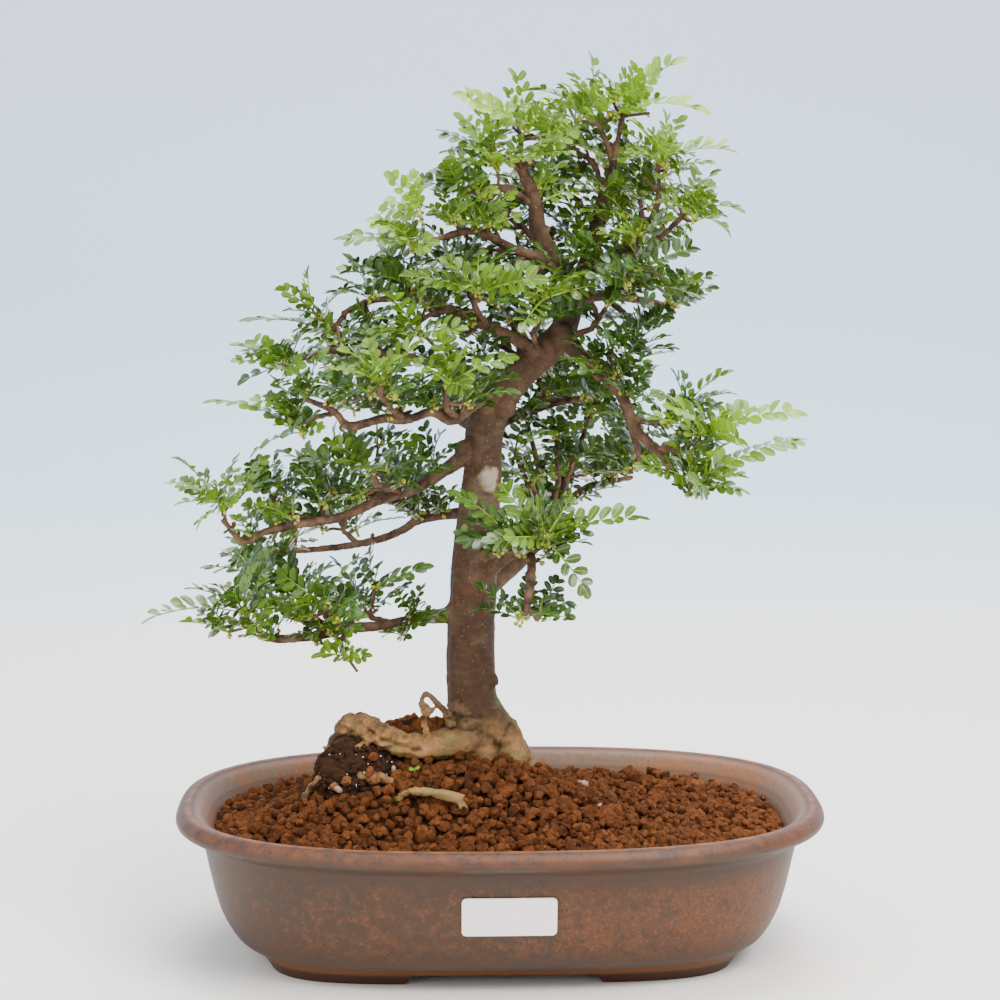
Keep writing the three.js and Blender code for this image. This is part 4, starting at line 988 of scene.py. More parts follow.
class BONSAI_OT_soil(bpy.types.Operator):
    """Heaps the akadama: a bed under a layer of separate grains"""
    bl_idname = "bonsai.soil"
    bl_label = "Akadama Grains"

    def execute(self, context):
        material = baked_clay_grains(context.scene.bonsai_colours)
        bed = extruded_rings("akadama_bed", BED_ROWS, False)
        points = (points_of(bed) - ORIGIN) / MM
        for point in points:
            if point[2] > BED_TOP:
                lump = noise.noise(Vector(point * 0.16)) * 2.0
                point[2] = soil_height(point[0], point[1]) - BED_DEPTH + lump
        set_points(bed, place(points))
        # The bed gets a low tone: painted shade in the gaps between the grains laid over it
        add_attribute(bed, "tone", np.full(len(points), 0.12))
        apply_modifier(bed, "TRIANGULATE")
        shade_smooth(bed)
        finish_piece(bed, "akadama_bed", material, "akadama", "akadama_soil")

        random = random_numbers(SEEDS["grains"])
        patterns = [crumb_pattern(seed, 2, 0.34) for seed in range(1, 9)]
        feelers = np.array(wood_feelers())
        step = context.scene.bonsai_sizes.grain / MM * 0.88
        copies = []
        for reach, share, lift in ((1.0, 0.98, -1.2), (0.8, 0.34, 1.2)):
            for row in range(-30, 31):
                for column in range(-40, 41):
                    x = (column + (row % 2) / 2 + (next(random) - 0.5) * 0.5) * step
                    y = (row * 0.87 + (next(random) - 0.5) * 0.5) * step
                    grain = step * 0.53 * reach * (0.72 + next(random) * 0.62)
                    if next(random) > share or not is_in_pot(x, y, SOIL_INSET + grain * 0.6):
                        continue
                    z = float(soil_height(x, y)) + lift + (next(random) - 0.5) * 2.2
                    away = np.linalg.norm(feelers[:, :3] - [x, y, z], axis=1) - feelers[:, 3]
                    in_peat = sum(((p - c) / r) ** 2 for p, c, r in zip((x, y, z), PEAT_CENTRE, PEAT_RADII))
                    if away.min() < grain * 0.5 or in_peat < 0.9:
                        continue
                    radii = grain * np.array([0.85 + next(random) * 0.35 for _ in range(3)])
                    tone = min(1.0, max(0.0, 0.42 + (next(random) + next(random) - 1) * 0.5))
                    pattern = patterns[int(next(random) * len(patterns)) % len(patterns)]
                    copies.append(turned_copy(pattern, (x, y, z), radii, random, [tone]))
        for centre, radii, share, low, count in ((PILE_CENTRE, PILE_RADII, 1.0, 0.1, 150),
                                                 (PEAT_CENTRE, PEAT_RADII, 1.03, -0.3, 26)):
            for _ in range(count):
                out = np.array([next(random) * 2 - 1, next(random) * 2 - 1, low + next(random) * (1 - low)])
                if low < 0 and (out[1] > -0.2 or out[0] < out[2] - 0.3):
                    continue
                spot = np.array(centre) + out / np.linalg.norm(out) * radii * share
                grain = 1.8 + next(random) * 1.2
                # High tones: on the pile behind the root they are painted light that lifts the grains out of
                # the shade there
                tone = 0.7 + next(random) * 0.3
                pattern = patterns[int(next(random) * 7)]
                copies.append(turned_copy(pattern, spot, grain * np.ones(3), random, [tone]))
        middle = len(copies) // 2
        for side, part in (("front", copies[:middle]), ("back", copies[middle:])):
            finish_copies(f"akadama_grains_{side}", part, material, "akadama", "akadama_soil",
                          attributes=["tone"], angle=34)
        return {"FINISHED"}


def old_peat(colours):
    """Old root-ball peat: dark, fibrous, matt and crumbly."""
    material, tree, where = new_material("Peat, packed", {"Roughness": 1.0, "Specular IOR Level": 0.15})
    base = rgba(colours.peat)
    tone = patches(tree, where, 2.4, 5, 0.7, [
        (0.3, scaled(base, 0.55)), (0.55, base), (0.75, linear(0x4C301F))])
    return dressed(material, tone, raised(tree, patches(tree, where, 1.4, 5, 0.7), 1.0, 1.0))


def expanded_perlite():
    """Perlite: volcanic glass puffed by heat, chalk white and matt."""
    material, tree, where = new_material("Perlite, expanded", {"Roughness": 0.9})
    tone = painted(tree, linear(0xDAD4CA), linear(0xF4F1EC), patches(tree, where, 1.5))
    return dressed(material, tone, raised(tree, patches(tree, where, 0.8, 3, 0.5), 0.4, 0.6))


def river_pebble():
    """Pebbles: water-worn cream stone, dry, with tan stains."""
    material, tree, where = new_material("Pebble, water-worn stone", {"Roughness": 0.8})
    tone = patches(tree, where, 2.5, 4, 0.6, [(0.35, linear(0x86644A)), (0.55, linear(0xBE9E80))])
    return dressed(material, tone, raised(tree, patches(tree, where, 1.2, 3, 0.5), 0.3, 0.6))


class BONSAI_OT_peat(bpy.types.Operator):
    """Packs the old root ball under the raised root, with its crumbs, perlite and a few stones"""
    bl_idname = "bonsai.peat"
    bl_label = "Peat and Pebbles"

    def execute(self, context):
        material = old_peat(context.scene.bonsai_colours)
        for name, centre, radii, nodes in (("root_ball", PEAT_CENTRE, PEAT_RADII, ["peat_mound"]),
                                           ("root_ball_back", PILE_CENTRE, PILE_RADII, [])):
            deselect()
            bpy.ops.mesh.primitive_ico_sphere_add(subdivisions=5, radius=1)
            lump = context.object
            points = points_of(lump)
            for i, point in enumerate(points):
                swell = 0.92 + 0.16 * noise.noise(Vector(point * 2.1))
                swell += 0.14 * noise.noise(Vector(point * 6.0))
                swell += 0.14 * max(0, point[2]) * max(0, -point[0] + 0.3)
                points[i] = point * swell * radii + centre
            set_points(lump, place(points))
            shade_smooth(lump)
            finish_piece(lump, name, material, "peat", *nodes)

        random = random_numbers(SEEDS["peat"])
        crumb = [crumb_pattern(seed, 1, 0.3) for seed in (21, 22, 23)]
        stone = [crumb_pattern(seed, 2, 0.16) for seed in (31, 32)]
        crumbs, perlite = [], []
        for number in range(750):
            turn, rise = next(random) * 2 * math.pi, next(random) * 1.5 - 0.5
            level = math.sqrt(max(0.0, 1 - min(1.0, abs(rise)) ** 2))
            out = np.array([math.cos(turn) * level, math.sin(turn) * level, min(1.0, rise)])
            spot = np.array(PEAT_CENTRE) + out * PEAT_RADII * (0.93 + next(random) * 0.07)
            is_speck = number % 4 == 0
            size = 0.22 + next(random) ** 3 * 0.7 if is_speck else 0.7 + next(random) * 1.3
            group = perlite if is_speck else crumbs
            group.append(turned_copy(crumb[number % 3], spot, size * np.array([1, 0.8, 0.9]), random, []))
        finish_copies("peat_crumbs", crumbs, material, "peat")
        finish_copies("perlite", perlite, expanded_perlite(), "peat")
        pebbles = []
        for x, y, lift, size in PEBBLES:
            spot = (x, y, float(soil_height(x, y)) + lift)
            radii = size * np.array([1, 0.8, 0.6])
            pebbles.append(turned_copy(stone[int(abs(x)) % 2], spot, radii, random, []))
        finish_copies("pebbles", pebbles, river_pebble(), "peat")
        return {"FINISHED"}


# Wood

def add(a, b):
    return [a[0] + b[0], a[1] + b[1], a[2] + b[2]]


def take(a, b):
    return [a[0] - b[0], a[1] - b[1], a[2] - b[2]]


def times(a, k):
    return [a[0] * k, a[1] * k, a[2] * k]


def dot(a, b):
    return a[0] * b[0] + a[1] * b[1] + a[2] * b[2]


def size_of(a):
    return math.sqrt(dot(a, a))


def unit(a):
    return times(a, 1 / size_of(a))


def cross(a, b):
    return [a[1] * b[2] - a[2] * b[1], a[2] * b[0] - a[0] * b[2], a[0] * b[1] - a[1] * b[0]]


def limb_point(limb, along):
    """A point [x, y, z, radius] on the smooth line through a limb's points."""
    last = len(limb) - 1
    step = min(math.floor(along), last - 1)
    t = along - step
    near = [limb[min(max(i, 0), last)] for i in (step - 1, step, step + 1, step + 2)]
    made = []
    for axis in range(4):
        a, b, c, d = (point[axis] for point in near)
        bend = 2 * a - 5 * b + 4 * c - d
        twist = 3 * b - a - 3 * c + d
        made.append((2 * b + (c - a) * t + bend * t * t + twist * t * t * t) / 2)
    return made


def nearest_along(limb, spur):
    best, least, along = 0, math.inf, 0.5
    while along <= len(limb) - 1:
        distance = size_of(take(spur, limb_point(limb, along)))
        if distance < least:
            least, best = distance, along
        along += 0.1
    return best


def twig_points(limb, spur):
    """The line of a twig: from its limb, leaning forward, to the spur."""
    start = nearest_along(limb, spur)
    nearest = limb_point(limb, start)
    away = size_of(take(spur, nearest))
    while start > 0.1 and size_of(take(limb_point(limb, start), nearest)) < away * TWIG_LEAN:
        start -= 0.1
    root = limb_point(limb, start)
    heading = unit(take(limb_point(limb, min(start + 0.2, len(limb) - 1)), root))
    length = size_of(take(spur, root))
    bend = add(times(add(root, spur), 0.5), times(heading, length * 0.16))
    thick = min(root[3] * 0.62, TWIG_RADIUS * (1 + length / 40))
    return [root[:3] + [thick], bend + [(thick + TWIG_RADIUS) / 2], list(spur) + [TWIG_RADIUS * 0.9]]


def heading_of(twig):
    return unit(take(twig[2], twig[1]))


def stub_lines():
    """Short knobbly side shoots along the branches: their lines, the way they lean and their limb's name."""
    random = random_numbers(SEEDS["stubs"])
    stubs = []
    for name, limb in LIMBS.items():
        if name == "trunk" or name.startswith("root"):
            continue
        for _ in range(4 + (len(limb) - 1) // 2 * 2):
            along = 0.6 + next(random) * (len(limb) - 1.7)
            x, y, z, radius = limb_point(limb, along)
            ahead = unit(take(limb_point(limb, min(along + 0.2, len(limb) - 1)), [x, y, z]))
            lean = unit(add([next(random) - 0.5, next(random) - 0.5, next(random) - 0.3], times(ahead, 0.25)))
            reach = radius + 1.6 + next(random) ** 2 * 7
            start, tip = [x, y, z], add([x, y, z], times(lean, reach))
            middle = add(times(add(start, tip), 0.5), [(next(random) - 0.5) * 1.5 for _ in range(3)])
            thick = 0.85 + next(random) * 0.5
            knob = thick * (1.1 + next(random) * 0.4)
            neck = add(tip, times(lean, -0.9))
            line = [start + [thick], middle + [thick], neck + [knob], tip + [knob * 0.55]]
            stubs.append((line, lean, name))
    return stubs


def side_shoots():
    """Short shoots that fork from each spur's twig: their lines, the way they lean and their limb's name."""
    random = random_numbers(SEEDS["shoots"])
    shoots = []
    for limb, spur, *_ in SPURS:
        twig = twig_points(LIMBS[limb], spur)
        outward, first, second = spur_axes(spur, twig)
        for number in range(3):
            turn = number * 2.1 + next(random) * 1.2
            across = add(times(first, math.cos(turn)), times(second, math.sin(turn)))
            lean = unit(add(times(outward, 0.45), across))
            fork = limb_point(twig, 0.8 + next(random))
            tip = add(fork[:3], times(lean, 5 + next(random) * 9))
            middle = add(times(add(fork[:3], tip), 0.5), [(next(random) - 0.5) * 2 for _ in range(3)])
            shoots.append(([fork[:3] + [0.8], middle + [0.75], tip + [0.7]], lean, limb))
    return shoots


def heart_shoots():
    """Leafy shoots in the shaded heart of the crown: their lines, the way they lean and their limb's name."""
    lines = [(twig_points(LIMBS[limb], tip), limb) for limb, tip in HEART_SHOOTS]
    return [(line, heading_of(line), limb) for line, limb in lines]


def tubes(name, lines, resolution):
    """Round tubes along lines of [x, y, z, radius], as one mesh."""
    curve = bpy.data.curves.new(name, "CURVE")
    curve.dimensions = "3D"
    curve.bevel_depth = MM
    curve.bevel_resolution = resolution
    curve.use_fill_caps = True
    for line in lines:
        spline = curve.splines.new("POLY")
        spline.points.add(len(line) - 1)
        spots = np.column_stack([place([p[:3] for p in line]), np.ones(len(line))])
        spline.points.foreach_set("co", spots.astype(np.float32).ravel())
        spline.points.foreach_set("radius", np.array([p[3] for p in line], np.float32))
    obj = bpy.data.objects.new(name, curve)
    bpy.context.scene.collection.objects.link(obj)
    select_only(obj)
    bpy.ops.object.convert(target="MESH")
    return bpy.context.object


def sampled(limb, per_step):
    count = (len(limb) - 1) * per_step
    return [limb_point(limb, i / per_step) for i in range(count + 1)]


# The forked end of the looped root and the frayed end of the cut one
ROOT_ENDS = [
    [[-36.9, -21, 124, 1.1], [-34, -21, 121.6, 1], [-31, -21, 120.4, 1]],
    [[-32.5, -21, 121, 1], [-35, -20.5, 118, 1.1]],
    [[-21, -49, 84.5, 1.2], [-18, -50, 82.4, 0.9], [-16.6, -51, 80, 0.8]],
    [[-21, -49.5, 86, 1], [-17.5, -50.5, 86.2, 0.9]],
    [[-21, -50, 83.5, 0.9], [-19.5, -52.5, 80.6, 0.8]],
    [[-60, -15, 110, 2.6], [-66, -17, 115, 2.2], [-70, -17, 114, 1.6], [-76, -16, 107, 1.2]],
    [[-74, -15, 110, 2], [-79.5, -14, 105, 1.6], [-83, -12, 98, 1.4], [-86, -12, 92, 0.9]],
]

# Creases in the front of the trunk's foot, as lines of [x, z]
CREASES = [
    [[-24.8, 115.6], [-20.2, 114.4], [-14.1, 114.2], [-8.8, 114.6], [-4.5, 113.6]],
    [[-25.5, 109.8], [-19.5, 109.5], [-11.8, 108.3], [-6.5, 105.6], [-2.7, 101.6], [-1.2, 98.5]],
    [[6.2, 112.4], [3.2, 107.5], [0.5, 102], [-1.4, 97]],
    [[-66, 114], [-58, 108], [-48, 103.5], [-38, 101]],
    [[-74, 112], [-68, 108], [-63, 105], [-54, 101]],
]
# Knots and hollows in the front of the bark, as [x, z, radius, how far they stand out]
KNOTS = [
    [-55.9, 112.3, 4.2, -1.3], [-73.2, 108.2, 4.4, -1.8], [-78.5, 101, 2.4, -1.2],
    [-2.6, 131.5, 1.9, 0.7], [-24.8, 131, 1.7, 0.8], [-61, 103, 3, -1.2], [-16, 190, 1.6, 0.5],
    [-7, 170, 1.5, 0.5],
]

# Swellings: knots, pruning scars and callus, as [x, y, z, radius]
SWELLINGS = [
    [-4, -4, 131, 3.4], [-22, -3, 165, 4.6], [-6, -9, 228, 3], [-17, -3, 243, 4.6], [2, -4, 263, 6],
    [-31, -13, 104, 3.6], [-54, -19, 108, 4.2], [-62, -19, 112, 4], [-72, -14, 113, 3.8],
    [-78, -11, 101, 3.4],
    [-44, -17, 104, 3.8], [20, 2, 284, 4.6], [30, 0, 298, 4.8], [36, 2, 311, 4.6], [26, -2, 332, 4.2],
    [46, 10, 329, 4], [-86, -27, 158, 2.9], [-57, -20, 221, 2.9], [-89, -30, 212, 2.6], [54, -18, 273, 3.4],
    [62, -28, 256, 3.1], [11, -40, 199, 3], [-44, -44, 262, 2.6], [-24, -33, 260, 3.1], [24, 42, 195, 3.3],
]


def bark_relief(spot, girth):
    """How far the bark stands out at a place, in millimetres: creases, lenticels and root wrinkles."""
    x, y, z = spot
    here = Vector(spot)
    relief = 0.35 * noise.noise(here * 0.09) + 0.18 * noise.noise(here * 0.33)
    if z < FOOT_TOP:
        near = min(1.0, (FOOT_TOP - z) / 26)
        crease = noise.noise(Vector((x * 0.05, y * 0.05, z * 0.42)))
        relief += near * (0.75 * crease + 0.5 * noise.noise(here * 0.14))
    if x < ROOT_FROM and z < ROOT_TOP:
        far = min(1.0, (ROOT_FROM - x) / 18)
        ridges = 1 - abs(noise.noise(Vector((x * 0.10, y * 0.34, z * 0.34)))) * 2
        relief += far * (ridges * 1.0 - 0.3 + 0.8 * noise.noise(here * 0.38) + 0.5 * noise.noise(here * 0.8))
    if x < ROOT_END_FROM and z < ROOT_TOP:
        end = min(1.0, (ROOT_END_FROM - x) / 10)
        relief += end * (1.1 * noise.noise(here * 0.3) + 0.6 * noise.noise(here * 0.7))
    thin = max(0.0, min(1.0, (5 - girth) / 3))
    relief += thin * (0.28 * noise.noise(here * 0.5) + 0.12 * noise.noise(here * 1.1))
    return relief


def crease_relief_and_shade(points):
    """How far each point of the wood stands out for the creases and knots, and how dark it is made: dark
    knots, and painted shade in the creases, in the hollows and over the buried root stub.
    """
    relief, mark = np.zeros(len(points)), np.zeros(len(points))
    flat = points[:, [0, 2]]
    is_front = points[:, 1] < np.where(points[:, 0] < -26, -9, 1)
    for line in CREASES:
        away = np.full(len(points), 99.0)
        for a, b in zip(np.array(line), np.array(line)[1:]):
            along = np.clip(((flat - a) @ (b - a)) / ((b - a) @ (b - a)), 0, 1)
            away = np.minimum(away, np.linalg.norm(flat - a - along[:, None] * (b - a), axis=1))
        groove = np.exp(-(away / 0.85) ** 2)
        relief += 0.55 * np.exp(-((away - 2.4) / 1.5) ** 2) - 1.0 * groove
        # Painted shade in the crease's groove
        mark = np.maximum(mark, groove * 0.9)
    for x, z, radius, rise in KNOTS:
        away = np.hypot(flat[:, 0] - x, flat[:, 1] - z) / radius
        relief += rise * np.exp(-(away * 1.4) ** 2) + 0.5 * np.exp(-((away - 1.15) * 3.2) ** 2)
        # Dark knots, with painted shade where they are hollows
        mark = np.maximum(mark, 0.9 * np.exp(-(away * 1.6) ** 2))
    # Painted shade over the buried root stub
    is_buried_stub = (points[:, 0] < -47) & (points[:, 1] < -24) & (points[:, 2] < 100)
    return relief * is_front, np.maximum(mark * is_front, 0.4 * is_buried_stub)


def smooth_bark(colours):
    """Japanese pepper bark: thin and smooth, grey-brown over rust, satin where it is rubbed, with pale
    lenticels, darker twigs and a green film of algae at the foot."""
    material, tree, where = new_material(
        "Pepper wood bark, living", {"Roughness": 0.72, "Specular IOR Level": 0.35})
    across = axis_of(tree, where, "X")
    height = axis_of(tree, where, "Z")
    girth = stored(tree, "girth")
    base = rgba(colours.bark)
    tone = patches(tree, where, 22, 5, 0.55, [
        (0.3, scaled(base, 0.62)), (0.5, base), (0.72, scaled(base, 1.45))])
    tone = painted(tree, tone, linear(0x643A20), patches(tree, where, 9, 4, 0.6, [(0.52, 0), (0.7, 0.5)]))
    tone = painted(tree, tone, linear(0x756348), patches(tree, where, 14, 4, 0.6, [(0.5, 0), (0.72, 0.6)]))
    flat = add_node(tree, "Mapping", {"Vector": where, "Scale": (0.35, 0.35, 1)})
    rings = patches(tree, flat, 2.2, 3, 0.6, [(0.4, 0.72), (0.6, 1.12)])
    tone = painted(tree, tone, rings, 0.7, blend="MULTIPLY")
    stout = rising(tree, girth, 2.0, 5.0)
    twig = patches(tree, where, 6, 4, 0.6, [(0.36, linear(0x3A281C)), (0.62, linear(0x7A5A42))])
    tone = painted(tree, twig, tone, stout)

    # The corky left root, the pale foot and its algae
    left = rising(tree, across, metres_along(-16), metres_along(-36))
    low = rising(tree, height, 126 * MM, 112 * MM)
    cork = patches(tree, where, 5, 5, 0.65, [
        (0.36, linear(0x5A3C20)), (0.5, linear(0x96693A)), (0.66, linear(0xC2945A))])
    streaks = patches(tree, where, 1.5, 4, 0.7, [(0.35, 0.5), (0.62, 1.12)])
    tone = painted(tree, tone, painted(tree, cork, streaks, 1.0, blend="MULTIPLY"), left, low)
    lower = rising(tree, height, 117 * MM, 100 * MM)
    rubbed = patches(tree, where, 9, 5, 0.65, [(0.36, 0.15), (0.62, 0.85)])
    tone = painted(tree, tone, linear(0xA87C4C), lower, rubbed)
    foot = rising(tree, height, 128 * MM, 98 * MM)
    algae = patches(tree, where, 12, 4, 0.6, [(0.46, 0), (0.62, 0.62)])
    tone = painted(tree, tone, linear(0x8A8244), foot, algae)

    # Lenticels, the pale wound, dark knots with painted shade in the creases and hollows, and the rotten end
    # of the left root
    dots = add_node(tree, "TexVoronoi", {"Vector": where, "Scale": 1 / (2.7 * MM)}, output="Distance")
    lenticels = ramp(tree, dots, [(0.07, 1), (0.18, 0)])
    tone = painted(tree, tone, linear(0x9C7C5E), lenticels, 0.55)
    away = add_node(tree, "VectorMath", {0: where, 1: tuple(place(WOUND))},
                    {"operation": "DISTANCE"}, output="Value")
    away = worked_out(tree, "MULTIPLY_ADD", patches(tree, where, 5), 8 * MM, away)
    wound = rising(tree, away, 11 * MM, 8.5 * MM)
    tone = painted(tree, tone, linear(0xA89A84), wound)
    # Dark knots, and painted shade in the creases, in the hollows and over the buried root stub
    mark = stored(tree, "mark")
    tone = painted(tree, tone, linear(0x1E130B), mark)
    end = rising(tree, across, metres_along(-66), metres_along(-78))
    under = rising(tree, height, 124 * MM, 118 * MM)
    rot = patches(tree, where, 6, 5, 0.65, [(0.42, 0), (0.56, 0.85)])
    tone = painted(tree, tone, linear(0x2A1D13), end, under, rot)
    skin = raised(tree, patches(tree, where, 1.6, 4, 0.65), 0.5, 0.9)
    skin = raised(tree, rings, 0.25, 0.6, skin)
    skin = raised(tree, lenticels, 0.2, 0.8, skin)
    return dressed(material, tone, skin)


class BONSAI_OT_wood(bpy.types.Operator):
    """Grows the trunk, roots, branches and twigs"""
    bl_idname = "bonsai.wood"
    bl_label = "Trunk and Branches"

    def execute(self, context):
        material = smooth_bark(context.scene.bonsai_colours)
        lines = [sampled(limb, 8) for limb in list(LIMBS.values()) + ROOT_ENDS]
        body = tubes("limbs", lines, 4)
        lumps = []
        for x, y, z, radius in SWELLINGS:
            deselect()
            bpy.ops.mesh.primitive_ico_sphere_add(
                subdivisions=3, radius=radius * MM, location=place((x, y, z)))
            lumps.append(context.object)
            bpy.ops.object.transform_apply()
        select_only(body, *lumps)
        bpy.ops.object.join()
        body = context.object
        voxel = context.scene.bonsai_sizes.bark_grain * 1
        apply_modifier(body, "REMESH", mode="VOXEL", voxel_size=voxel, use_smooth_shade=True)
        apply_modifier(body, "SMOOTH", factor=0.5, iterations=3)
        samples = [p for line in lines for p in line]
        tree = kdtree.KDTree(len(samples))
        for i, p in enumerate(samples):
            tree.insert(p[:3], i)
        tree.balance()
        points = (points_of(body) - ORIGIN) / MM
        normals = np.empty(len(points) * 3, np.float32)
        body.data.vertex_normals.foreach_get("vector", normals)
        normals = normals.reshape(-1, 3)
        girths = np.empty(len(points))
        for i, point in enumerate(points):
            girths[i] = samples[tree.find(point)[1]][3]
        relief, mark = crease_relief_and_shade(points)
        for i, point in enumerate(points):
            if relief[i]:
                broken = max(0.0, min(1.2, 0.65 + 1.1 * noise.noise(Vector(point * 0.35))))
                relief[i] *= broken
                mark[i] *= broken
            points[i] = point + normals[i] * (bark_relief(point, girths[i]) + relief[i])
        set_points(body, place(points))
        add_attribute(body, "girth", girths)
        add_attribute(body, "mark", mark)
        apply_modifier(body, "DECIMATE", ratio=0.55)
        finish_piece(body, "trunk_and_branches", material, "bark", "wood")

        random = random_numbers(SEEDS["twigs"])
        twigs = []
        for limb, spur, *_ in SPURS:
            root, bend, end = twig_points(LIMBS[limb], spur)
            line = [limb_point([root, bend, end], i / 6) for i in range(13)]
            for p in line[2:]:
                swell = 1 + 0.35 * (next(random) - 0.3)
                p[3] *= swell
                for axis in range(3):
                    p[axis] += (next(random) - 0.5) * 0.7
            line[-1][3] *= 1.4
            twigs.append(line)
        twigs += [line for line, _, _ in stub_lines() + side_shoots() + heart_shoots()]
        shoots = tubes("twigs", twigs, 2)
        add_attribute(shoots, "girth", np.full(len(shoots.data.vertices), 1.0))
        shade_smooth(shoots, 50)
        finish_piece(shoots, "twigs_and_stubs", material, "bark", "wood")
        return {"FINISHED"}


# Fronds

def frond_between(heart, tip, roll):
    outward = unit([heart[0], heart[1], 0])
    skyward = unit(add([0, 0, 1], times(outward, FACE_OUTWARD)))
    base = add(heart, times(unit(take(tip, heart)), STALK_ROOT))
    chord = take(tip, base)
    length = size_of(chord)
    along = times(chord, 1 / length)
    level = unit(cross(along, [0, 0, 1] if abs(dot(along, skyward)) > 0.95 else skyward))
    above = cross(level, along)
    side = add(times(level, math.cos(roll)), times(above, math.sin(roll)))
    face = cross(side, along)
    reach = max(FROND_REACH_LEAST, length * FROND_REACH)
    return {"base": base, "chord": chord, "length": length, "side": side, "face": face, "reach": reach}


def rib_point(frond, share):
    rise = frond["length"] * FROND_ARCH * 4 * share * (1 - share)
    return add(add(frond["base"], times(frond["chord"], share)), times(frond["face"], rise))


def frond_boxes(frond):
    boxes = []
    for near, far in ((STALK_SHARE, 0.6), (0.6, 1)):
        start, end = rib_point(frond, near), rib_point(frond, far)
        along = unit(take(end, start))
        thick = RIB_THICK / 2 + frond["length"] * FROND_ARCH * 0.16 + BOX_CLEAR
        halves = [size_of(take(end, start)) / 2 + BOX_CLEAR, frond["reach"] + BOX_CLEAR, thick]
        middle = times(add(start, end), 0.5)
        boxes.append((middle, [along, frond["side"], cross(frond["side"], along)], halves))
    return boxes


def wood_boxes(points):
    boxes = []
    for start, end in zip(points, points[1:]):
        along = unit(take(end, start))
        side = unit(cross(along, [1, 0, 0] if abs(along[2]) > 0.9 else [0, 0, 1]))
        radius = max(start[3], end[3]) + SEAT + BOX_CLEAR
        halves = [size_of(take(end, start)) / 2 + radius / 2, radius, radius]
        boxes.append((times(add(start, end), 0.5), [along, side, cross(side, along)], halves))
    return boxes


def boxes_meet(a, b):
    between = take(b[0], a[0])
    directions = a[1] + b[1]
    for first in a[1]:
        for second in b[1]:
            third = cross(first, second)
            if dot(third, third) > 1e-6:
                directions = directions + [third]
    for direction in directions:
        room = 0
        for box in (a, b):
            for axis, half in zip(box[1], box[2]):
                room += half * abs(dot(axis, direction))
        if abs(dot(between, direction)) >= room:
            return False
    return True


class TakenRoom:
    """The boxes that are already filled, kept so that near ones are found fast."""

    def __init__(self, boxes):
        self.boxes = []
        self.middles = np.zeros((8192, 3))
        self.reaches = np.zeros(8192)
        self.fill(boxes)

    def fill(self, boxes):
        for box in boxes:
            self.middles[len(self.boxes)] = box[0]
            self.reaches[len(self.boxes)] = size_of(box[2])
            self.boxes.append(box)

    def takes(self, boxes):
        """Fills the room of some boxes if all of it is free, and says whether it was."""
        count = len(self.boxes)
        for box in boxes:
            away = np.sqrt(((self.middles[:count] - box[0]) ** 2).sum(1))
            near = np.nonzero(away <= self.reaches[:count] + size_of(box[2]))[0]
            if any(boxes_meet(box, self.boxes[i]) for i in near):
                return False
        self.fill(boxes)
        return True


def place_fronds(twigs):
    """The solids' fronds, spur by spur, and the room that they and the wood take."""
    random = random_numbers(FROND_SEED)
    lines = list(LIMBS.values()) + twigs
    taken = TakenRoom([box for points in lines for box in wood_boxes(points)])
    fronds = [[] for _ in SPURS]
    hearts = [add(spur[1], times(heading_of(twigs[i]), BUD_HEART)) for i, spur in enumerate(SPURS)]
    for index, (*_, tips) in enumerate(SPURS):
        for tip in tips:
            for attempt in range(FROND_TRIES):
                aim = [value + (next(random) - 0.5) * attempt * 0.25 for value in tip]
                frond = frond_between(hearts[index], aim, (next(random) - 0.5) * (0.8 + attempt * 0.03))
                if taken.takes(frond_boxes(frond)):
                    fronds[index].append(frond)
                    break
    for index, (_, spur, count, length, _, tips) in enumerate(SPURS):
        axes = spur_axes(spur, twigs[index])
        for number in range(max(count - len(tips), 2)):
            for attempt in range(FROND_TRIES):
                turn = (number * OPENING["turn_step"] + next(random) * OPENING["turn_range"]
                        + attempt * OPENING["turn_more"])
                open_by = OPENING["least"] + next(random) * OPENING["range"] + attempt * OPENING["more"]
                heading = opened(axes, turn, open_by)
                heading[2] = max(heading[2], OPENING["lowest"]) * OPENING["flatten"] + OPENING["lift"]
                share = OPENING["shortest"] + next(random) * OPENING["length_range"]
                share *= 1 - attempt * OPENING["shorten"]
                roll = (next(random) - 0.5) * OPENING["roll"]
                frond = frond_between(hearts[index], add(spur, times(unit(heading), length * share)), roll)
                if taken.takes(frond_boxes(frond)):
                    fronds[index].append(frond)
                    break
    room = TakenRoom([box for points in lines for box in wood_boxes(points)])
    for frond in sum(fronds, []):
        room.fill(slim_boxes(frond))
    return fronds, hearts, room


def axes_round(heading):
    """A direction with two across it."""
    outward = unit(heading)
    first = unit(cross(outward, [1, 0, 0] if abs(outward[2]) > 0.9 else [0, 0, 1]))
    return outward, first, cross(outward, first)


def spur_axes(spur, twig):
    return axes_round(add(heading_of(twig), [spur[0] / 200, spur[1] / 120, 0.45]))


def opened(axes, turn, open_by):
    """The direction that stands open from the first axis by an angle, at a turn round it."""
    outward, first, second = axes
    across = add(times(first, math.cos(turn)), times(second, math.sin(turn)))
    return add(times(outward, math.cos(open_by)), times(across, math.sin(open_by)))


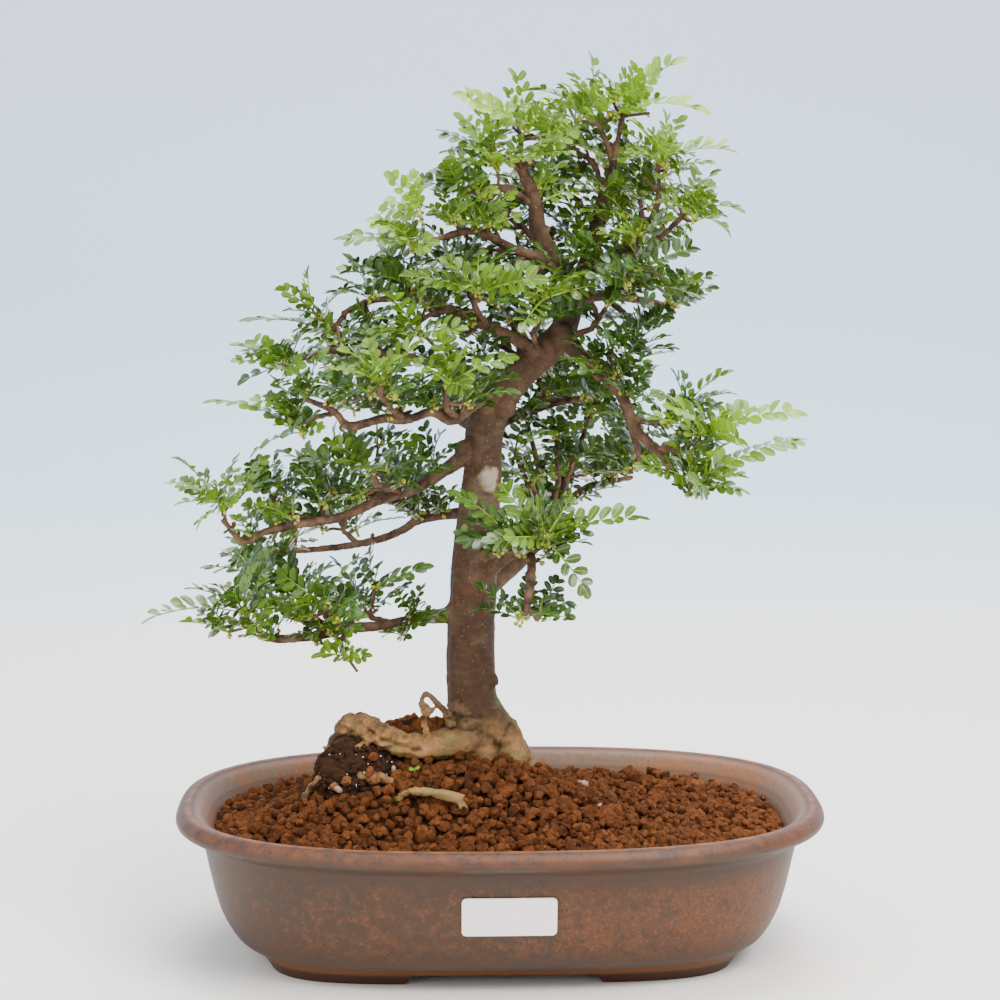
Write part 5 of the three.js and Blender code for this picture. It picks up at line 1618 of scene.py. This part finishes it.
def opened_fronds(random, heart, axes, wanted, shortest, longest, taken):
    """Short fronds that open from a heart wherever there is room between the others."""
    found = []
    for number in range(wanted):
        for attempt in range(SHORT_FROND_TRIES):
            turn = number * OPENING["turn_step"] + next(random) * 2 + attempt * 1.1
            heading = opened(axes, turn, 0.2 + next(random) * 1.3)
            heading[2] = abs(heading[2]) * OPENING["flatten"] + 0.1
            reach = (shortest + next(random) * (longest - shortest)) * (1 - attempt * 0.02)
            tip = add(heart, times(unit(heading), reach))
            frond = frond_between(heart, tip, (next(random) - 0.5) * 0.9)
            frond["reach"] = max(SHORT_REACH_LEAST, frond["length"] * FROND_REACH)
            if taken.takes(slim_boxes(frond)):
                found.append(frond)
                break
    return found


def slim_boxes(frond):
    """A short frond's room, drawn in so that its leaflets may slip between those of its neighbours."""
    return [(middle, axes, [half * share for half, share in zip(halves, (0.7, 0.5, 0.4))])
            for middle, axes, halves in frond_boxes(frond)]


def tuft_axes(lean):
    return axes_round(add(lean, [0, 0, 0.35]))


def leaflet_pattern():
    """One leaflet, a unit long and wide: obovate and folded a little along its rib. Its two skins meet at a
    sharp rim."""
    deselect()
    bpy.ops.mesh.primitive_grid_add(x_subdivisions=4, y_subdivisions=2, size=1)
    leaflet = bpy.context.object
    bpy.ops.object.mode_set(mode="EDIT")
    bpy.ops.mesh.select_all(action="SELECT")
    bpy.ops.mesh.duplicate()
    bpy.ops.mesh.flip_normals()
    bpy.ops.object.mode_set(mode="OBJECT")
    points = points_of(leaflet)
    is_under = np.arange(len(points)) >= len(points) // 2
    is_inside = (np.abs(points[:, 1]) < 0.4) & (np.abs(points[:, 0]) < 0.4)
    column = np.rint((points[:, 0] + 0.5) * 4).astype(int)
    width = np.array([0.12, 0.8, 1.0, 0.84, 0.3])[column]
    spread = np.array([0.0, 0.22, 0.55, 0.85, 1.0])[column]
    lift = np.abs(points[:, 1]) * 0.12 * width - 0.16 * (spread - 0.35) ** 2
    lift -= np.where(is_inside & is_under, 0.05, 0)
    set_points(leaflet, np.stack([spread, points[:, 1] * width, lift], 1))
    bpy.ops.object.mode_set(mode="EDIT")
    bpy.ops.mesh.select_all(action="SELECT")
    bpy.ops.mesh.remove_doubles(threshold=0.0001)
    bpy.ops.object.mode_set(mode="OBJECT")
    return pattern_of(leaflet)


def rachis_pattern():
    """A frond's stalk and winged rib: a long flat four-sided bar, a unit long."""
    deselect()
    bpy.ops.mesh.primitive_cylinder_add(vertices=4, radius=1, depth=1, rotation=(0, math.pi / 2, 0))
    rib = bpy.context.object
    bpy.ops.object.transform_apply()
    bpy.ops.object.mode_set(mode="EDIT")
    for step in range(1, 8):
        bpy.ops.mesh.select_all(action="SELECT")
        bpy.ops.mesh.bisect(plane_co=(step / 8 - 0.5, 0, 0), plane_no=(1, 0, 0))
    bpy.ops.object.mode_set(mode="OBJECT")
    points = points_of(rib)
    points[:, 0] += 0.5
    set_points(rib, points)
    recalculate_normals(rib)
    return pattern_of(rib)


def bent_onto(frond, local):
    """Points [along, sideways, up] in millimetres, bent onto a frond's arched rib."""
    share = local[:, 0] / frond["length"]
    rise = frond["length"] * FROND_ARCH * 4 * share * (1 - share) + local[:, 2]
    return (np.array(frond["base"]) + share[:, None] * np.array(frond["chord"])
            + local[:, 1:2] * np.array(frond["side"]) + rise[:, None] * np.array(frond["face"]))


def painted_crown_light(frond):
    """How much a frond's tone is raised or lowered as painted light and shade: painted shade on the low
    fronds in front of the trunk, painted light standing in for light shining through the leaves towards the
    crown's top and sides.
    """
    x, y, z = rib_point(frond, 1)
    # Painted shade on the low fronds in front of the trunk
    if z < 235 and y < 0 and abs(x - 25) < 45:
        return -0.3
    return min(0.34, 0.34 * max(0, abs(x - 10) / 100 - 0.35) + 0.4 * max(0, (z - 358) / 72)) - 0.14


def frond_copies(frond, leaflet, rachis, sizes, random, tone):
    """A frond's rib and leaflets as copies of their patterns."""
    length = frond["length"]
    pitch = sizes.leaflet_pitch / MM * (0.62 + 0.38 * min(1.0, length / 34))
    longest = sizes.leaflet_longest / MM
    reach = min(frond["reach"] * 1.1, longest)
    end_length = reach * 1.02
    first = length * STALK_SHARE + reach * 0.1
    last = length - end_length * 0.86
    pairs = max(1, int(round((last - first) / pitch)) + 1)
    lift = (next(random) - 0.25) * 0.7
    copies = []
    points, corners, faces = rachis
    wing = np.where(points[:, 0] < STALK_SHARE * 0.9, 0.36, 0.62) * np.clip(1.25 - points[:, 0], 0.3, 1)
    local = np.stack([points[:, 0] * (last + end_length * 0.1), points[:, 1] * wing, points[:, 2] * 0.3], 1)
    values = [np.full(len(points), tone + 0.16), np.full(len(points), 0.0), np.full(len(points), 0.5)]
    copies.append((place(bent_onto(frond, local)), corners, faces, values))
    points, corners, faces = leaflet
    spots = []
    for pair in range(pairs):
        share = pair / max(1, pairs - 1)
        at = first + (last - first) * share * 0.97
        grown = 0.7 + 0.3 * math.sin(math.pi * (0.25 + 0.6 * share))
        for sign in (-1, 1):
            turn = sign * math.radians(62 - 16 * share + (next(random) - 0.5) * 16)
            spots.append((at + sign * 0.12 * pitch, sign * 0.3, turn, grown * (0.9 + next(random) * 0.2)))
    spots.append((last, 0, (next(random) - 0.5) * 0.3, 1.0 + next(random) * 0.1))
    for at, sideways, turn, grown in spots:
        long = reach * grown
        wide = min(long * (0.6 + next(random) * 0.1), pitch * 0.88)
        roll = (next(random) - 0.5) * 0.9
        rise = math.sin(lift) * (0 if sideways == 0 else 1) + (next(random) - 0.5) * 0.3
        x, y, z = points[:, 0] * long, points[:, 1] * wide, points[:, 2] * long
        y, z = y * math.cos(roll) - z * math.sin(roll), y * math.sin(roll) + z * math.cos(roll)
        z = z + x * rise
        across = x * math.sin(turn) + y * math.cos(turn)
        ahead = x * math.cos(turn) - y * math.sin(turn)
        local = np.stack([at + ahead, sideways + across, z + 0.2], 1)
        shade = tone + (next(random) - 0.5) * 0.16
        values = [np.full(len(points), shade), points[:, 1] * 2, points[:, 0]]
        copies.append((place(bent_onto(frond, local)), corners, faces, values))
    return copies


def leaf_blade(name, old, young, roughness):
    """Pepper leaflets: leathery blades with a waxed upper skin that gives small white glints, and a paler
    rib and veins."""
    material, tree, where = new_material(name, {
        "Roughness": roughness, "IOR": 1.46, "Specular IOR Level": 0.4, "Coat Weight": 0.5,
        "Coat Roughness": 0.13})
    tone, across, along = (stored(tree, kind) for kind in BLADE_VALUES)
    colour = ramp(tree, tone, [
        (0.0, scaled(old, 0.42)), (0.4, old), (0.78, young), (1.0, scaled(young, 1.22))])
    mottle = patches(tree, where, 3.5, 3, 0.5, [(0.3, 0.82), (0.7, 1.15)])
    colour = painted(tree, colour, mottle, 1.0, blend="MULTIPLY")
    off = worked_out(tree, "ABSOLUTE", across)
    slant = worked_out(tree, "MULTIPLY_ADD", off, -0.35, along)
    waves = worked_out(tree, "MULTIPLY", slant, 38.0)
    waves = worked_out(tree, "SINE", waves)
    veins = ramp(tree, waves, [(0.86, 0), (1.0, 0.25)])
    rib = ramp(tree, off, [(0.02, 0.55), (0.14, 0)])
    lines = worked_out(tree, "MAXIMUM", veins, rib)
    colour = painted(tree, colour, scaled(young, 1.5), lines)
    skin = raised(tree, patches(tree, where, 2.5, 2, 0.5), 0.2, 0.35)
    skin = raised(tree, lines, -0.12, 0.5, skin)
    return dressed(material, colour, skin)


class BONSAI_OT_sprays(bpy.types.Operator):
    """Opens the leafy sprays at the spurs, frond by frond"""
    bl_idname = "bonsai.sprays"
    bl_label = "Leafy Sprays"

    def execute(self, context):
        colours, sizes = context.scene.bonsai_colours, context.scene.bonsai_sizes
        old, young = rgba(colours.leaf), rgba(colours.young_leaf)
        blades = {
            False: (leaf_blade("Pepper leaf, hardened", old, mixed_colour(old, young, 0.45), 0.36), "leaf"),
            True: (leaf_blade("Pepper leaf, young", mixed_colour(old, young, 0.35), young, 0.42),
                   "young_leaf"),
        }
        leaflet, rachis = leaflet_pattern(), rachis_pattern()
        twigs = [twig_points(LIMBS[spur[0]], spur[1]) for spur in SPURS]
        fronds, hearts, taken = place_fronds(twigs)
        random = random_numbers(SEEDS["leaves"])
        infill = [
            opened_fronds(random, heart, spur_axes(spot, twig), sizes.infill, 15, min(length, 30), taken)
            for heart, twig, (_, spot, _, length, *_) in zip(hearts, twigs, SPURS)]
        for index, spur in enumerate(SPURS):
            is_young = bool(spur[4])
            copies = []
            for group, middle, spread in ((fronds[index], 0.42, 0.5), (infill[index], 0.46, 0.6)):
                for frond in group:
                    tone = middle + (next(random) - 0.5) * spread + painted_crown_light(frond)
                    copies += frond_copies(frond, leaflet, rachis, sizes, random, tone)
            number = f"{index + 1:02d}"
            finish_copies(f"leafy_spray_{number}", copies, *blades[is_young], f"spray_{number}",
                          attributes=BLADE_VALUES, angle=LEAF_SMOOTH)
        tufts = {}
        for number, (line, lean, limb) in enumerate(stub_lines() + side_shoots()):
            if number % BARE_SHOOT_EVERY == 0:
                continue
            heart = line[-1][:3]
            is_high = heart[2] > YOUNG_FROM
            for frond in opened_fronds(random, heart, tuft_axes(lean), 4 + number % 3, 14, 27, taken):
                tone = 0.4 + (next(random) - 0.5) * 0.6 + painted_crown_light(frond)
                leaves = frond_copies(frond, leaflet, rachis, sizes, random, tone)
                tufts.setdefault((limb, is_high), []).extend(leaves)
            hearts.append(heart)
        for line, lean, _ in heart_shoots():
            heart = line[-1][:3]
            for frond in opened_fronds(random, heart, tuft_axes(lean), 8, 16, 30, taken):
                # Painted shade: heart shoots high in the crown get a darker tone
                tone = (0.26 if heart[2] > SHADE_FROM else 0.4) + (next(random) - 0.5) * 0.4
                leaves = frond_copies(frond, leaflet, rachis, sizes, random, tone)
                tufts.setdefault(("crown_heart", False), []).extend(leaves)
            hearts.append(heart)
        for (limb, is_high), copies in tufts.items():
            finish_copies(f"tufts_{limb}" + ("_high" if is_high else ""), copies, *blades[is_high],
                          attributes=BLADE_VALUES, angle=LEAF_SMOOTH)
        context.scene["bonsai_hearts"] = [value for heart in hearts for value in heart]
        return {"FINISHED"}


def mixed_colour(first, second, share):
    return [a + (b - a) * share for a, b in zip(first, second)]


def flower_buds():
    """Pepper flower buds: small waxy knobs, yellow-green with an olive shadow side."""
    material, tree, where = new_material("Flower buds, waxy", {"Roughness": 0.5})
    tone = patches(tree, where, 1.8, 3, 0.5, [
        (0.35, linear(0x6E7A1E)), (0.5, linear(0xA6AC32)), (0.68, linear(0xD2C85A))])
    return dressed(material, tone)


class BONSAI_OT_flowers(bpy.types.Operator):
    """Sets the clusters of yellow-green flower buds at the spurs"""
    bl_idname = "bonsai.flowers"
    bl_label = "Flower Buds"

    def execute(self, context):
        deselect()
        bpy.ops.mesh.primitive_ico_sphere_add(subdivisions=1, radius=1)
        bud = pattern_of(context.object)
        random = random_numbers(SEEDS["buds"])
        hearts = np.array(context.scene["bonsai_hearts"]).reshape(-1, 3)
        copies = []
        for heart in hearts:
            spread = 2.6 + next(random) * 1.6
            for _ in range(5 + int(next(random) * 7)):
                out = np.array([next(random) - 0.5, next(random) - 0.5, next(random) - 0.35])
                spot = heart + out / max(0.2, np.linalg.norm(out)) * spread * (0.35 + next(random) * 0.65)
                size = 0.75 + next(random) * 0.6
                copies.append(turned_copy(bud, spot, size * np.array([0.85, 0.85, 1.15]), random, []))
        finish_copies("flower_clusters", copies, flower_buds(), "young_leaf")
        return {"FINISHED"}


class BONSAI_OT_seedling(bpy.types.Operator):
    """Plants the two-leaved seedling on the soil"""
    bl_idname = "bonsai.seedling"
    bl_label = "Seedling"

    def execute(self, context):
        x, y = SEEDLING
        z = float(soil_height(x, y)) - 0.5
        stem = [[x, y, z, 0.35], [x + 0.3, y, z + 2, 0.3], [x + 0.2, y - 0.2, z + 4, 0.3]]
        points, corners, faces = pattern_of(tubes("seedling_stem", [stem], 2))
        copies = [(points, corners, faces, [np.full(len(points), v) for v in (0.6, 0.0, 0.5)])]
        points, corners, faces = leaflet_pattern()
        for turn in (0.2, 3.3):
            local = points * [2.7, 2.1, 2.7]
            spun = np.stack([local[:, 0] * math.cos(turn) - local[:, 1] * math.sin(turn),
                             local[:, 0] * math.sin(turn) + local[:, 1] * math.cos(turn), local[:, 2]], 1)
            spun[:, 2] += spun[:, 1] * 0.9 + np.abs(spun[:, 0]) * 0.25
            values = [np.full(len(points), 0.3), points[:, 1] * 2, points[:, 0]]
            copies.append((place(spun + [x + 0.2, y - 0.2, z + 3.9]), corners, faces, values))
        young = rgba(context.scene.bonsai_colours.young_leaf)
        blade = leaf_blade("Seedling leaf, tender", scaled(young, 0.7), young, 0.45)
        finish_copies("seedling", copies, blade, "young_leaf", attributes=BLADE_VALUES)
        return {"FINISHED"}


class BONSAI_PT_panel(bpy.types.Panel):
    bl_idname = "BONSAI_PT_panel"
    bl_label = "Japanese Pepper Bonsai"
    bl_space_type = "VIEW_3D"
    bl_region_type = "UI"
    bl_category = "Bonsai"

    def draw(self, context):
        for kind in STEPS:
            self.layout.operator(kind.bl_idname)
        for group in (context.scene.bonsai_sizes, context.scene.bonsai_colours):
            for name in group.__annotations__:
                self.layout.prop(group, name)


STEPS = [
    BONSAI_OT_stage, BONSAI_OT_pot, BONSAI_OT_label, BONSAI_OT_nets, BONSAI_OT_soil, BONSAI_OT_peat,
    BONSAI_OT_wood, BONSAI_OT_sprays, BONSAI_OT_flowers, BONSAI_OT_seedling,
]
CLASSES = [BonsaiSizes, BonsaiColours, *STEPS, BONSAI_PT_panel]


def register():
    for kind in CLASSES:
        bpy.utils.register_class(kind)
    bpy.types.Scene.bonsai_sizes = bpy.props.PointerProperty(type=BonsaiSizes)
    bpy.types.Scene.bonsai_colours = bpy.props.PointerProperty(type=BonsaiColours)


def unregister():
    del bpy.types.Scene.bonsai_colours
    del bpy.types.Scene.bonsai_sizes
    for kind in reversed(CLASSES):
        bpy.utils.unregister_class(kind)


def main():
    register()
    for kind in STEPS:
        getattr(bpy.ops.bonsai, kind.bl_idname.split(".")[1])()


if __name__ == "__main__":
    main()
